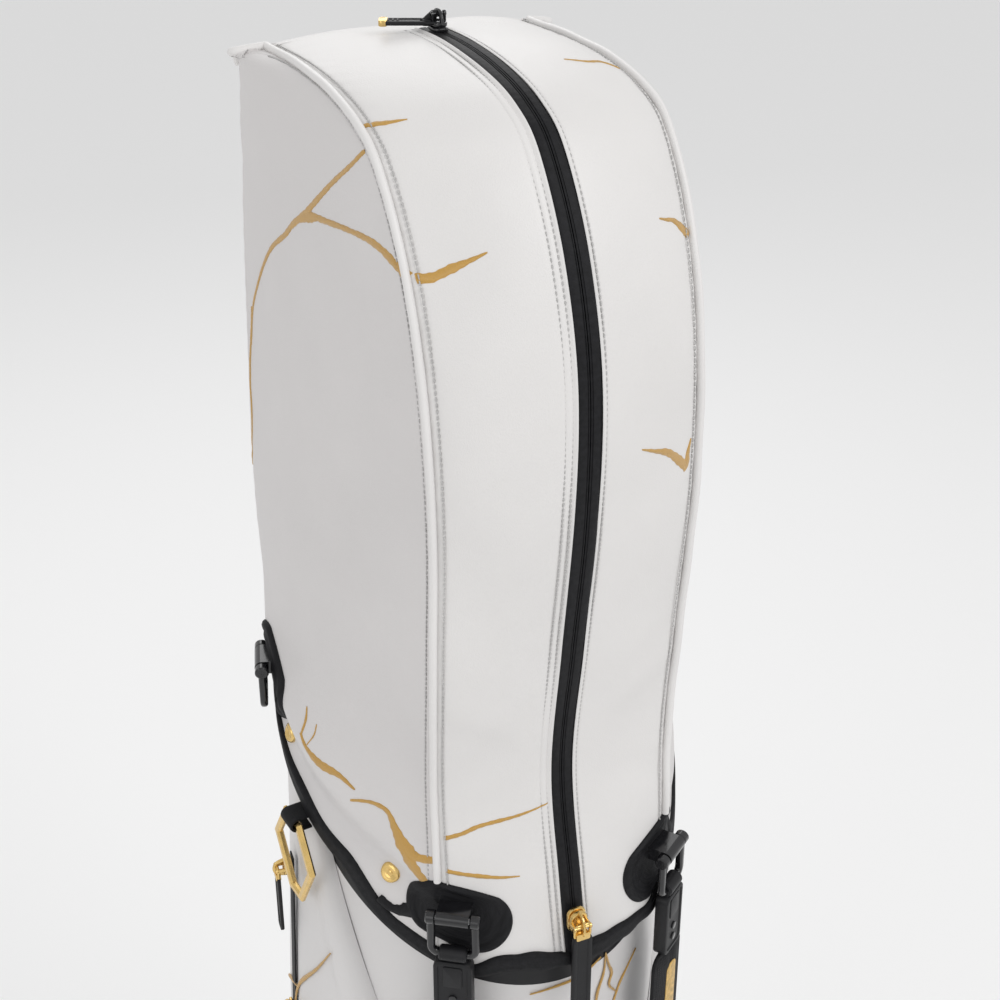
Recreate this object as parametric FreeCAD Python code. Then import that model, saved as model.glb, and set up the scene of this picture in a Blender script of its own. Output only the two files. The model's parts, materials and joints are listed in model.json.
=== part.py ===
import FreeCAD, Part
import math
import os

# Golf staff bag with a zipped club hood.  Millimetres.  The floor is Z = 0, +Z is up, the bag's
# vertical axis is X = Y = 0, the front (hood zip, ball pocket) faces -Y and the bag's left is -X.

V = FreeCAD.Vector

# ---------------------------------------------------------------- driving dimensions
BODY_HALF_WIDTH = 116.0        # body tube, half size along X
BODY_HALF_DEPTH = 130.0        # body tube, half size along Y
BODY_WALL = 3.0
HEM_HEIGHT = 810.0             # hood hem on the bag's axis; the hem plane rises towards the back
HEM_SLOPE = 0.54
FAR = 1500.0                   # half size of the cutting solids

FOOT_HEIGHT = 6.0
FOOT_RADIUS = 13.0
FOOT_COUNT = 6
FOOT_INSET = 21.0              # foot centre, in from the tub's edge
BASE_HEIGHT = 58.0
BASE_FLOOR = 8.0
BASE_OVERHANG = 14.0
BASE_ROUND = 6.0

CUFF_BELOW_HEM = 34.0
CUFF_ABOVE_HEM = 45.0
CUFF_WALL = 5.0
DIVIDER_WALL = 4.0
DIVIDER_SPACING = 84.0         # between the two cross walls
SLEEVE_WALL = 1.6
SLEEVE_GAP = 0.4
STAY_RADIUS = 3.5
STAY_ANGLES = (62.0, 118.0, -118.0, -62.0)
STAY_INSET = 1.0

HOOD_WALL = 2.5
HEM_BAND = 10.0
HEM_BAND_PROUD = 1.5
PIPING_RADIUS = 2.4
ZIP_WIDTH = 14.0
ZIP_GAP = 0.3
ZIP_TOP_Y = 64.0
SEAM_LOW_INSET = 42.5          # piped seams, in from BODY_HALF_WIDTH at the hem
SEAM_HIGH_INSET = 38.5         # and at the crown

PORT_ANGLE_FRONT = 29.7        # measured from -Y round to the side
PORT_ANGLE_REAR = 112.0
PORT_RISE_FRONT = 21.0         # port centre over the hem
PORT_RISE_REAR = 30.0
PORT_HOLE = (50.0, 30.0)
PATCH_RIM = 10.0
PATCH_PROUD = 1.2
SNAP_FRONT = (50.0, 19.0)      # angle, rise over the hem
SNAP_SIDE = (97.0, 19.0)
SNAP_RADIUS = 6.5
SNAP_PROUD = 3.0
STUD_RADIUS = 4.0
STUD_LENGTH = 2.5
STUD_GAP = 0.1                 # clears the curve of the cuff under a stud

SHOULDER_ANGLE = 150.0
SHOULDER_BELOW_HEM = 70.0
PIN_REACH = 20.5               # ring pin, out from the cuff's face
PIN_RISE = 8.0                 # ring pin over the port's centre
PIN_RADIUS = 2.0
PIN_CLEARANCE = 0.05
PLATE = (44.0, 22.0)
PLATE_REACH = 5.0
LUG_HALF = 10.0
EYE_RADIUS = 4.5
EAR_GAP = 0.5
EAR_WIDTH = 6.0
RING_DROP = 27.0
RING_BAR = 2.5

PAD_WIDTH = 38.0
STRAP_THICK = 9.0
STRAP_END_WIDTH = 24.0
STRAP_EYE_WIDTH = 17.0
STRAP_EYE_WALL = 2.5
STRAP_END_LENGTH = 48.0
STRAP_END_GAP = 4.0            # from the ring bar's axis to the end piece's shoulders
PAD_FRONT = 200.0
PAD_SHOULDER = 420.0
TAIL = (24.0, 3.0, 26.0)       # webbing tail under a pad: across, thick, long
ANCHOR_GAP = 8.0
ANCHOR_TAB = (26.0, 6.0, 34.0)
ANCHOR_SLOT = (16.0, 12.0)

SIDE_POCKET_BOTTOM = 84.0
SIDE_POCKET_HALF = 92.0        # half its size along Y
SIDE_POCKET_OUT = 26.0
SIDE_POCKET_FULL = 420.0       # full depth up to here, then it tapers
SIDE_POCKET_TOP = 880.0
SIDE_POCKET_TOP_OUT = 6.0
SIDE_POCKET_UNDER_HEM = 5.0
SIDE_POCKET_SLANT = (680.0, 0.42)  # front edge leans back above this height, by this much per mm
BALL_POCKET = (128.0, 84.0, 372.0, 38.0)       # across, bottom, top, depth
ACCESSORY_POCKET = (78.0, 392.0, 560.0, 22.0)
POCKET_ROUND = 20.0
TAPE_WIDTH = 9.0
TAPE_PROUD = 1.0
TAPE_MARGIN = 14.0
SIDE_ZIP_Y = 18.0
SIDE_ZIP_LOW = 430.0
SIDE_ZIP_HIGH = 736.0
FRONT_ZIP_INSET = 22.0

SLIDER = (9.0, 5.0, 13.0)      # across, out, along
SLIDER_GAP = 0.6
SLIDER_END = 2.0               # a slider stops this far from its tape's end
SLIDER_BAR = 1.0
LUG_THICK = 1.6
PULL_EYE_WALL = 1.2
PULL_GAP = 1.8                 # a pull's eye off its slider's face
PULL_WIDTH = 10.0
PULL_LENGTH = 46.0
PULL_THICK = 2.4
HOOD_SLIDER = (12.0, 6.0, 17.0)
HOOD_PULL = (13.0, 74.0, 2.8)  # across, long, thick
HOOD_ZIP_LOW = 22.0            # slider centre over the hem at the front
HOOD_ZIP_TRAVEL = 9.0          # further up, the tape leans away from under the hanging pull
CROWN_SLIDER_Y = 50.0
CROWN_TRAVEL = 30.0
CROWN_PULL = (9.0, 26.0, 2.4)
CROWN_PULL_TURN = 65.0         # the crown pull lies back, turned this far to the left

SPINE = (58.0, 9.0, 520.0)
SPINE_BOTTOM = 170.0
HANDLE_MIDDLE = 520.0
HANDLE_SPAN = 160.0
HANDLE_WIDTH = 30.0
HANDLE_THICK = 9.0
HANDLE_REACH = 36.0
HANDLE_SPLAY = 26.0
TOWEL_Y = -14.0
TOWEL_BELOW_HEM = 9.0
TOWEL_BAR = 2.4
TOWEL_REACH = 10.0
TOWEL_TAB = (13.0, 18.0)
TOWEL_OUTLINE = ((9.5, 0.0), (25.0, -26.0), (7.0, -58.0))   # half width, drop: top, middle, bottom

# Hood stations from the hem over the crown to the back.  Each is one plane section, with its
# front point (out past the body, rise over HEM_HEIGHT), its back point (the same), the depth of
# the piped seam behind the front point, the half widths at the seam, mid side and back corner
# (each as a difference from BODY_HALF_WIDTH), and the depth of the back corner.
HOOD_STATIONS = (
    (14.0, -84.0, 10.0, 70.0, 40.0, -38.0, 11.0, -16.0, 60.0),
    (2.0, -22.0, 10.0, 96.0, 24.0, -39.0, 7.0, -13.0, 38.0),
    (-13.0, 54.0, 10.0, 122.0, 10.0, -39.0, -2.0, -11.0, 26.0),
    (-2.0, 142.0, 12.0, 176.0, 15.0, -38.0, -11.0, -11.0, 24.0),
    (10.0, 230.0, 13.0, 240.0, 21.0, -37.0, -16.0, -13.0, 25.0),
    (10.0, 312.0, 13.0, 292.0, 27.0, -36.0, -18.0, -15.0, 25.0),
    (-7.0, 374.0, 13.0, 335.0, 28.0, -35.0, -20.0, -17.0, 25.0),
    (-37.0, 420.0, 13.0, 362.0, 27.0, -34.0, -21.0, -19.0, 25.0),
    (-65.0, 437.0, 13.0, 377.0, 28.0, -34.0, -21.0, -19.0, 25.0),
    (-103.0, 445.0, 13.0, 394.0, 29.0, -34.0, -22.0, -20.0, 25.0),
    (-150.0, 447.0, 12.0, 410.0, 29.0, -34.0, -22.0, -21.0, 24.0),
    (-210.0, 443.0, 9.0, 424.0, 27.0, -34.0, -22.0, -22.0, 20.0),
)
HOOD_TOP = HEM_HEIGHT + 460.0


# ---------------------------------------------------------------- helpers
def hem_z(y):
    """Height of the hem plane at depth y."""
    return HEM_HEIGHT + HEM_SLOPE * y


def ellipse_wire(out, z):
    """Outline of the body tube grown by a distance, at one height."""
    half_x = BODY_HALF_WIDTH + out
    half_y = BODY_HALF_DEPTH + out
    centre = V(0, 0, z)
    if half_x >= half_y:
        curve = Part.Ellipse(V(half_x, 0, z), V(0, half_y, z), centre)
    else:
        curve = Part.Ellipse(V(0, half_y, z), V(-half_x, 0, z), centre)
    return Part.Wire(curve.toShape())


def body_prism(out, bottom, top):
    """Upright cylinder on the grown body outline."""
    return Part.Face(ellipse_wire(out, bottom)).extrude(V(0, 0, top - bottom))


def prism_x(points, x0, x1):
    """Solid from a closed outline of (y, z) points, along X."""
    corners = [V(x0, y, z) for y, z in points]
    return Part.Face(Part.makePolygon(corners + corners[:1])).extrude(V(x1 - x0, 0, 0))


def under_hem(offset):
    """Everything under the plane that lies offset above the hem plane."""
    back = hem_z(FAR) + offset
    front = hem_z(-FAR) + offset
    return prism_x([(-FAR, -FAR), (FAR, -FAR), (FAR, back), (-FAR, front)], -FAR, FAR)


def slab(width, height, y0, y1, radius=0.0, x=0.0, z=0.0):
    """Plate across the local XZ plane from y0 to y1, with rounded corners."""
    box = Part.makeBox(width, y1 - y0, height, V(x - width / 2, y0, z - height / 2))
    if radius <= 0:
        return box
    edges = [e for e in box.Edges if e.BoundBox.YLength > (y1 - y0) / 2]
    return box.makeFillet(radius, edges)


def oval(size, grow, y0, y1):
    """Slot-shaped prism with round ends, along local Y."""
    width = size[0] + 2 * grow
    height = size[1] + 2 * grow
    return slab(width, height, y0, y1, height / 2 - 0.01)


def bar(start, end, radius):
    """Round bar between two points."""
    return Part.makeCylinder(radius, (end - start).Length, start, end - start)


def fused(shapes):
    """One solid from touching pieces."""
    return shapes[0].fuse(shapes[1:]).removeSplitter().Solids[0]


def site(angle, grow=0.0, out=0.0):
    """Point, turn about Z and outward normal at a polar angle from -Y on the grown body outline."""
    half_x = BODY_HALF_WIDTH + grow
    half_y = BODY_HALF_DEPTH + grow
    s = math.sin(math.radians(angle))
    c = -math.cos(math.radians(angle))
    reach = 1.0 / math.hypot(s / half_x, c / half_y)
    normal = V(reach * s / half_x ** 2, reach * c / half_y ** 2, 0)
    normal.normalize()
    turn = math.degrees(math.atan2(-normal.x, normal.y))
    return V(reach * s, reach * c, 0) + normal * out, turn, normal


def placed(shape, where, turn):
    """Turn a shape out of the local frame (X tangent, Y outward, Z up) and move it."""
    moved = shape.copy()
    moved.rotate(V(0, 0, 0), V(0, 0, 1), turn)
    moved.translate(where)
    return moved


def side_block(sign, x_from, x_to):
    """Everything on one side between two distances from the middle plane."""
    low = min(sign * x_from, sign * x_to)
    return Part.makeBox(x_to - x_from, 2 * FAR, 2 * FAR, V(low, -FAR, -FAR))


# ---------------------------------------------------------------- base and body
def base_tub():
    top = FOOT_HEIGHT + BASE_HEIGHT
    tub = body_prism(BASE_OVERHANG, FOOT_HEIGHT, top)
    rims = [e for e in tub.Edges if e.BoundBox.ZLength < 0.1]
    tub = tub.makeFillet(BASE_ROUND, rims)
    return tub.cut(body_prism(0, FOOT_HEIGHT + BASE_FLOOR, top + 1))


def base_feet():
    feet = [Part.makeCylinder(2 * FOOT_RADIUS, FOOT_HEIGHT)]
    for index in range(FOOT_COUNT):
        angle = (index + 0.5) * 360.0 / FOOT_COUNT
        spot = site(angle, BASE_OVERHANG, -FOOT_INSET)[0]
        feet.append(Part.makeCylinder(FOOT_RADIUS, FOOT_HEIGHT, spot))
    return Part.makeCompound(feet)


def body_shell():
    bottom = FOOT_HEIGHT + BASE_FLOOR
    tube = body_prism(0, bottom, FAR).cut(body_prism(-BODY_WALL, bottom - 1, FAR + 1))
    return tube.common(under_hem(-CUFF_BELOW_HEM))


def divider_walls(room, wall):
    """Two cross walls and the long wall between them: six club wells."""
    edge = DIVIDER_SPACING / 2
    walls = []
    for side in (-1, 1):
        walls.append(Part.makeBox(2 * FAR, wall, 2 * FAR, V(-FAR, side * edge - wall / 2, -FAR)))
    ends = (-FAR, -edge - wall / 2, -edge + wall / 2, edge - wall / 2, edge + wall / 2, FAR)
    for low, high in zip(ends[::2], ends[1::2]):
        walls.append(Part.makeBox(wall, high - low, 2 * FAR, V(-wall / 2, low, -FAR)))
    return [w.common(room) for w in walls]


def top_cuff():
    span = under_hem(CUFF_ABOVE_HEM).cut(under_hem(-CUFF_BELOW_HEM))
    ring = body_prism(0, 0, FAR).cut(body_prism(-CUFF_WALL, -1, FAR + 1)).common(span)
    room = body_prism(-CUFF_WALL, 0, FAR).common(span)
    return fused([ring] + divider_walls(room, DIVIDER_WALL))


def divider_sleeves():
    bottom = FOOT_HEIGHT + BASE_FLOOR
    room = body_prism(-BODY_WALL - SLEEVE_GAP, bottom, FAR)
    room = room.common(under_hem(-CUFF_BELOW_HEM - SLEEVE_GAP))
    return Part.makeCompound(divider_walls(room, SLEEVE_WALL))


def stay_rods():
    bottom = FOOT_HEIGHT + BASE_FLOOR
    rods = []
    for angle in STAY_ANGLES:
        spot = site(angle, -BODY_WALL, -STAY_INSET - STAY_RADIUS)[0]
        top = hem_z(spot.y - STAY_RADIUS) - CUFF_BELOW_HEM - SLEEVE_GAP
        rods.append(bar(V(spot.x, spot.y, bottom), V(spot.x, spot.y, top), STAY_RADIUS))
    return Part.makeCompound(rods)


def back_spine():
    width, thick, length = SPINE
    plate = slab(width, length, -BODY_HALF_DEPTH / 2, thick, POCKET_ROUND)
    plate.translate(V(0, BODY_HALF_DEPTH, SPINE_BOTTOM + length / 2))
    return plate.cut(body_prism(0, 0, FAR))


def back_handle():
    """Padded grab handle that stands off the spine."""
    foot = BODY_HALF_DEPTH + SPINE[1]
    half_span = HANDLE_SPAN / 2
    top = half_span - HANDLE_SPLAY
    outer = [(foot, -half_span), (foot + HANDLE_REACH, -top), (foot + HANDLE_REACH, top), (foot, half_span)]
    inner = [
        (foot, -half_span + 1.6 * HANDLE_THICK),
        (foot + HANDLE_REACH - HANDLE_THICK, -top + HANDLE_THICK / 2),
        (foot + HANDLE_REACH - HANDLE_THICK, top - HANDLE_THICK / 2),
        (foot, half_span - 1.6 * HANDLE_THICK),
    ]
    arch = prism_x(outer, -HANDLE_WIDTH / 2, HANDLE_WIDTH / 2)
    arch = arch.cut(prism_x(inner, -HANDLE_WIDTH, HANDLE_WIDTH))
    arch.translate(V(0, 0, HANDLE_MIDDLE))
    return arch


# ---------------------------------------------------------------- pockets and their zips
def side_out(z):
    """How far a side pocket stands out from the body at a height."""
    share = max(0.0, (z - SIDE_POCKET_FULL) / (SIDE_POCKET_TOP - SIDE_POCKET_FULL))
    return SIDE_POCKET_OUT + share * (SIDE_POCKET_TOP_OUT - SIDE_POCKET_OUT)


def side_form(extra=0.0):
    """Body grown by the side pocket's depth, tapering towards the hood."""
    lower = body_prism(SIDE_POCKET_OUT + extra, SIDE_POCKET_BOTTOM, SIDE_POCKET_FULL)
    rings = [
        ellipse_wire(SIDE_POCKET_OUT + extra, SIDE_POCKET_FULL),
        ellipse_wire(SIDE_POCKET_TOP_OUT + extra, SIDE_POCKET_TOP),
    ]
    return lower.fuse(Part.makeLoft(rings, True, True))


def side_pocket():
    """Left apparel pocket, whose front edge leans back towards the hood's hem."""
    slant_z, lean = SIDE_POCKET_SLANT
    outline = [
        (-SIDE_POCKET_HALF, SIDE_POCKET_BOTTOM),
        (SIDE_POCKET_HALF, SIDE_POCKET_BOTTOM),
        (SIDE_POCKET_HALF, SIDE_POCKET_TOP),
        (-SIDE_POCKET_HALF + lean * (SIDE_POCKET_TOP - slant_z), SIDE_POCKET_TOP),
        (-SIDE_POCKET_HALF, slant_z),
    ]
    block = prism_x(outline, 0, -FAR)
    corners = [e for e in block.Edges if e.BoundBox.XLength > 1 and e.BoundBox.ZMax < SIDE_POCKET_BOTTOM + 1]
    block = block.makeFillet(POCKET_ROUND, corners)
    pocket = side_form().common(block).cut(body_prism(0, 0, FAR))
    return pocket.common(under_hem(-SIDE_POCKET_UNDER_HEM))


def front_pocket(size):
    width, bottom, top, depth = size
    block = slab(width, top - bottom, -FAR, 0, POCKET_ROUND, 0, (top + bottom) / 2)
    return body_prism(depth, bottom, top).common(block).cut(body_prism(0, 0, FAR))


def front_zip_x(size):
    return -size[0] / 2 + FRONT_ZIP_INSET


def pocket_zip_tapes():
    """Zip tapes stitched onto the pockets' faces."""
    tapes = []
    for sign in (-1, 1):
        strip = Part.makeBox(FAR, TAPE_WIDTH, SIDE_ZIP_HIGH - SIDE_ZIP_LOW)
        strip.translate(V(0 if sign > 0 else -FAR, SIDE_ZIP_Y - TAPE_WIDTH / 2, SIDE_ZIP_LOW))
        tapes.append(side_form(TAPE_PROUD).common(strip).cut(side_form()))
    for size in (BALL_POCKET, ACCESSORY_POCKET):
        low = size[1] + TAPE_MARGIN
        high = size[2] - TAPE_MARGIN
        strip = slab(TAPE_WIDTH, high - low, -FAR, 0, 0, front_zip_x(size), (low + high) / 2)
        tape = body_prism(size[3] + TAPE_PROUD, low, high).common(strip)
        tapes.append(tape.cut(body_prism(size[3], low - 1, high + 1)))
    return Part.makeCompound(tapes)


def slider_body(size, lean=0.0, swivel=0.0):
    """Zip slider in the local frame, the gap off the tape; its cross bar may be swivelled."""
    across, out, along = size
    block = slab(across, along, SLIDER_GAP, SLIDER_GAP + out, 0)
    edges = [e for e in block.Edges if e.BoundBox.YLength > out / 2]
    block = block.makeFillet(across / 4, edges)
    bar_y = slider_bar_y(size)
    bridge = [bar(V(-across / 2, bar_y, 0), V(across / 2, bar_y, 0), SLIDER_BAR)]
    for side in (-1, 1):
        x = side * (across / 2 - LUG_THICK / 2)
        bridge.append(slab(LUG_THICK, 4 * SLIDER_BAR, SLIDER_GAP + out / 2, bar_y + 2 * SLIDER_BAR, 0, x))
    for piece in bridge:
        piece.rotate(V(0, 0, 0), V(0, 1, 0), swivel)
    body = fused([block] + bridge)
    body.rotate(V(0, 0, 0), V(1, 0, 0), lean)
    return body


def slider_bar_y(size):
    """Distance of the cross bar from the tape."""
    return SLIDER_GAP + size[1] + SLIDER_BAR + PULL_EYE_WALL + PULL_GAP


def pull_tab(size, slider):
    """Pull with an eye round the slider's bar, hanging down from the origin."""
    width, length, thick = size
    bore = SLIDER_BAR + PIN_CLEARANCE
    wall = bore + PULL_EYE_WALL
    eye_half = slider[0] / 2 - LUG_THICK - 0.5
    eye = bar(V(-eye_half, 0, 0), V(eye_half, 0, 0), wall)
    neck_top = -(bore + wall) / 2
    tab_top = -2.5 * wall
    neck = slab(2 * eye_half, neck_top - tab_top, -thick / 2, thick / 2, 0, 0, (neck_top + tab_top) / 2)
    tab = slab(width, length, -thick / 2, thick / 2, width / 3, 0, tab_top - length / 2)
    whole = fused([eye, neck, tab])
    return whole.cut(bar(V(-width, 0, 0), V(width, 0, 0), bore))


def pocket_slider_sites():
    """Name, place on the tape, turn, lean along the tape and free travel of each pocket slider."""
    rise = SIDE_POCKET_TOP - SIDE_POCKET_FULL
    lean = math.degrees(math.atan2(SIDE_POCKET_OUT - SIDE_POCKET_TOP_OUT, rise))
    places = []
    reach = SLIDER[2] / 2
    upper = SIDE_ZIP_HIGH - reach - SLIDER_END
    lower = (SIDE_ZIP_LOW + SIDE_ZIP_HIGH) / 2 + 20
    room = PULL_LENGTH + 3 * SLIDER[2]
    spots = (
        ("left_upper", -1, upper, upper - lower - room),
        ("left_lower", -1, lower, lower - SIDE_ZIP_LOW - reach - SLIDER_END),
        ("right", 1, upper, upper - SIDE_ZIP_LOW - reach - SLIDER_END),
    )
    for name, sign, z, travel in spots:
        grow = side_out(z) + TAPE_PROUD
        half_x = BODY_HALF_WIDTH + grow
        half_y = BODY_HALF_DEPTH + grow
        x = sign * half_x * math.sqrt(1 - (SIDE_ZIP_Y / half_y) ** 2)
        angle = math.degrees(math.atan2(x, -SIDE_ZIP_Y))
        where, turn, _ = site(angle, grow)
        places.append((name, V(where.x, where.y, z), turn, lean, travel))
    for name, size in (("ball", BALL_POCKET), ("accessory", ACCESSORY_POCKET)):
        grow = size[3] + TAPE_PROUD
        x = front_zip_x(size)
        y = -(BODY_HALF_DEPTH + grow) * math.sqrt(1 - (x / (BODY_HALF_WIDTH + grow)) ** 2)
        where, turn, _ = site(math.degrees(math.atan2(x, -y)), grow)
        z = size[2] - TAPE_MARGIN - reach - SLIDER_END
        lowest = size[1] + TAPE_MARGIN + reach + SLIDER_END
        if name == "accessory":
            lowest = max(lowest, BALL_POCKET[2] + PULL_LENGTH + SLIDER[2])
        places.append((name, V(where.x, where.y, z), turn, 0.0, z - lowest))
    return places


def bar_point(where, turn, lean, size):
    """Place of a slider's cross bar."""
    offset = V(0, slider_bar_y(size), 0)
    offset = FreeCAD.Rotation(V(1, 0, 0), lean).multVec(offset)
    return where + FreeCAD.Rotation(V(0, 0, 1), turn).multVec(offset)


# ---------------------------------------------------------------- hood
def hood_section(station, grow, shift):
    """One closed plane section of the hood, grown outwards and shifted across its own plane."""
    front_out, front_rise, back_out, back_rise, seam_depth, seam, side, corner, corner_depth = station
    front = V(0, -(BODY_HALF_DEPTH + front_out), HEM_HEIGHT + front_rise)
    back = V(0, BODY_HALF_DEPTH + back_out, HEM_HEIGHT + back_rise)
    along = back - front
    length = along.Length
    along.normalize()
    normal = V(0, -along.z, along.y)

    def at(depth, x):
        return front + along * depth + V(x, 0, 0) + normal * shift

    seam_x = BODY_HALF_WIDTH + seam + 0.8 * grow
    seam_u = seam_depth - 0.6 * grow
    side_x = BODY_HALF_WIDTH + side + grow
    corner_x = BODY_HALF_WIDTH + corner + 0.8 * grow
    corner_u = length - corner_depth + 0.6 * grow
    corners = [at(seam_u, -seam_x), at(seam_u, seam_x), at(corner_u, corner_x), at(corner_u, -corner_x)]
    middles = [at(-grow, 0), at(length / 2, side_x), at(length + grow, 0), at(length / 2, -side_x)]
    arcs = []
    for index in range(4):
        arcs.append(Part.Arc(corners[index], middles[index], corners[(index + 1) % 4]).toShape())
    return Part.Wire(arcs)


def hood_solid(grow=0.0):
    """Filled hood shape, grown outwards (or inwards if negative)."""
    sections = []
    last = len(HOOD_STATIONS) - 1
    for index, station in enumerate(HOOD_STATIONS):
        shift = grow * (index / last) ** 2
        if index == 0 and grow < 0:
            shift = -HOOD_WALL
        sections.append(hood_section(station, grow, shift))
    return Part.makeLoft(sections, True, False)


def seam_slab():
    """Region between the two piped seams."""
    low = BODY_HALF_WIDTH - SEAM_LOW_INSET
    high = BODY_HALF_WIDTH - SEAM_HIGH_INSET
    bottom = hem_z(-BODY_HALF_DEPTH)
    outline = [V(-low, -FAR, bottom), V(low, -FAR, bottom), V(high, -FAR, HOOD_TOP), V(-high, -FAR, HOOD_TOP)]
    foot = [V(-low, -FAR, 0), V(low, -FAR, 0)]
    wire = Part.makePolygon([foot[0], foot[1], outline[1], outline[2], outline[3], outline[0], foot[0]])
    return Part.Face(wire).extrude(V(0, 2 * FAR, 0))


def port_sites():
    """Name, angle and centre height of each strap ring's port in the hood's skirt."""
    ports = []
    for end, angle, rise in (("front", PORT_ANGLE_FRONT, PORT_RISE_FRONT), ("rear", PORT_ANGLE_REAR, PORT_RISE_REAR)):
        for side, sign in (("left", -1), ("right", 1)):
            z = hem_z(site(angle)[0].y) + rise
            ports.append((end + "_" + side, sign * angle, z))
    return ports


def port_prism(grow):
    """All four oval ports as prisms that pass out through the skirt."""
    prisms = []
    for _, angle, z in port_sites():
        where, turn, _ = site(angle)
        prisms.append(placed(oval(PORT_HOLE, grow, -BODY_WALL, 60), V(where.x, where.y, z), turn))
    return Part.makeCompound(prisms)


def hood_panels(outer, skin):
    """The hood's five cut panels and the two halves of its zip tape."""
    strip = skin.common(seam_slab())
    sides = skin.cut(seam_slab())
    front_space = Part.makeBox(2 * FAR, FAR + ZIP_TOP_Y, 2 * FAR, V(-FAR, -FAR, -FAR))
    front = strip.common(front_space)
    panels = {"hood_back": strip.cut(front_space)}
    half_zip = ZIP_WIDTH / 2
    for side, sign in (("left", -1), ("right", 1)):
        panels["hood_front_" + side] = front.common(side_block(sign, half_zip, FAR))
        panels["hood_side_" + side] = sides.common(side_block(sign, 0, FAR))
        panels["hood_zip_tape_" + side] = front.common(side_block(sign, ZIP_GAP / 2, half_zip))
    return panels


def seam_points(sign):
    """Points of a piped seam, from the hem over the crown to the back."""
    points = []
    for station in HOOD_STATIONS:
        section = hood_section(station, PIPING_RADIUS / 2, 0)
        ends = [v.Point for v in section.Vertexes]
        front_ends = sorted(ends, key=lambda p: p.y)[:2]
        points.append([p for p in front_ends if sign * p.x > 0][0])
    return points


def hood_piping(sign, outer):
    curve = Part.BSplineCurve()
    curve.interpolate(seam_points(sign))
    edge = curve.toShape()
    start = edge.valueAt(edge.FirstParameter)
    heading = edge.tangentAt(edge.FirstParameter)
    circle = Part.Wire(Part.makeCircle(PIPING_RADIUS, start, heading))
    cord = Part.Wire(edge).makePipeShell([circle], True, True)
    trimmed = cord.cut(outer).cut(under_hem(HEM_BAND)).cut(port_prism(PATCH_RIM))
    return max(trimmed.Solids, key=lambda s: s.Volume)


def front_y(outer, z):
    """Depth of the hood's front face on the middle plane at a height."""
    line = Part.makeLine(V(0, -FAR, z), V(0, 0, z))
    return min(v.Y for v in line.common(outer).Vertexes)


def crown_z(outer, y):
    """Height of the hood's crown on the middle plane at a depth."""
    line = Part.makeLine(V(0, y, HEM_HEIGHT + CUFF_ABOVE_HEM), V(0, y, FAR))
    return max(v.Z for v in line.common(outer).Vertexes)


def hood_zip_line(outer):
    """Lowest place of the zip slider and the straight line it first runs up."""
    low_z = hem_z(-BODY_HALF_DEPTH) + HOOD_ZIP_LOW
    low = V(0, front_y(outer, low_z), low_z)
    high_z = low_z + HOOD_ZIP_TRAVEL
    high = V(0, front_y(outer, high_z), high_z)
    way = high - low
    way.normalize()
    return low, way


def crown_line(outer):
    """Place of the crown slider and the straight line it runs forward along."""
    start = V(0, CROWN_SLIDER_Y, crown_z(outer, CROWN_SLIDER_Y))
    front = CROWN_SLIDER_Y - CROWN_TRAVEL
    way = V(0, front, crown_z(outer, front)) - start
    way.normalize()
    return start, way


def hood_zip_hardware(outer):
    """The two sliders of the hood's zip and their pulls."""
    low, way = hood_zip_line(outer)
    lean = math.degrees(math.atan2(way.y, way.z))
    nodes = {"hood_slider": placed(slider_body(HOOD_SLIDER, lean), low, 180.0)}
    hinge = bar_point(low, 180.0, lean, HOOD_SLIDER)
    nodes["hood_pull"] = placed(pull_tab(HOOD_PULL, HOOD_SLIDER), hinge, 180.0)

    start = crown_line(outer)[0]
    crown = slider_body(SLIDER, 90.0, CROWN_PULL_TURN)
    crown.translate(start)
    nodes["crown_slider"] = crown
    lying = pull_tab(CROWN_PULL, SLIDER)
    lying.rotate(V(0, 0, 0), V(1, 0, 0), 90)
    lying.rotate(V(0, 0, 0), V(0, 0, 1), CROWN_PULL_TURN)
    lying.translate(start + V(0, 0, slider_bar_y(SLIDER)))
    nodes["crown_pull"] = lying
    return nodes


def snap_sites():
    snaps = []
    for angle, rise in (SNAP_FRONT, SNAP_SIDE):
        for sign in (-1, 1):
            snaps.append((sign * angle, hem_z(site(angle)[0].y) + rise))
    return snaps


def snaps(outer):
    """Snap caps on the skirt and their studs on the cuff."""
    caps = []
    studs = []
    proud = hood_solid(SNAP_PROUD)
    for angle, z in snap_sites():
        where, turn, _ = site(angle)
        where = V(where.x, where.y, z)
        blank = placed(bar(V(0, 0, 0), V(0, 60, 0), SNAP_RADIUS), where, turn)
        skirt_cap = proud.common(blank).cut(outer)
        caps.append(max(skirt_cap.Solids, key=lambda s: s.Volume))
        studs.append(placed(bar(V(0, STUD_GAP, 0), V(0, STUD_LENGTH, 0), STUD_RADIUS), where, turn))
    return {"snap_caps": Part.makeCompound(caps), "snap_studs": Part.makeCompound(studs)}


def hood_nodes():
    outer = hood_solid()
    inner = hood_solid(-HOOD_WALL)
    skin = outer.cut(inner).cut(under_hem(0)).cut(port_prism(0))
    nodes = hood_panels(outer, skin)
    band = hood_solid(HEM_BAND_PROUD).cut(outer).common(under_hem(HEM_BAND)).cut(under_hem(0))
    nodes["hood_hem_band"] = band
    patches = hood_solid(PATCH_PROUD).cut(outer).common(port_prism(PATCH_RIM))
    nodes["port_patches"] = patches.cut(port_prism(0)).cut(under_hem(HEM_BAND))
    for side, sign in (("left", -1), ("right", 1)):
        nodes["hood_piping_" + side] = hood_piping(sign, outer)
    nodes.update(snaps(outer))
    nodes.update(hood_zip_hardware(outer))
    return nodes


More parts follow.
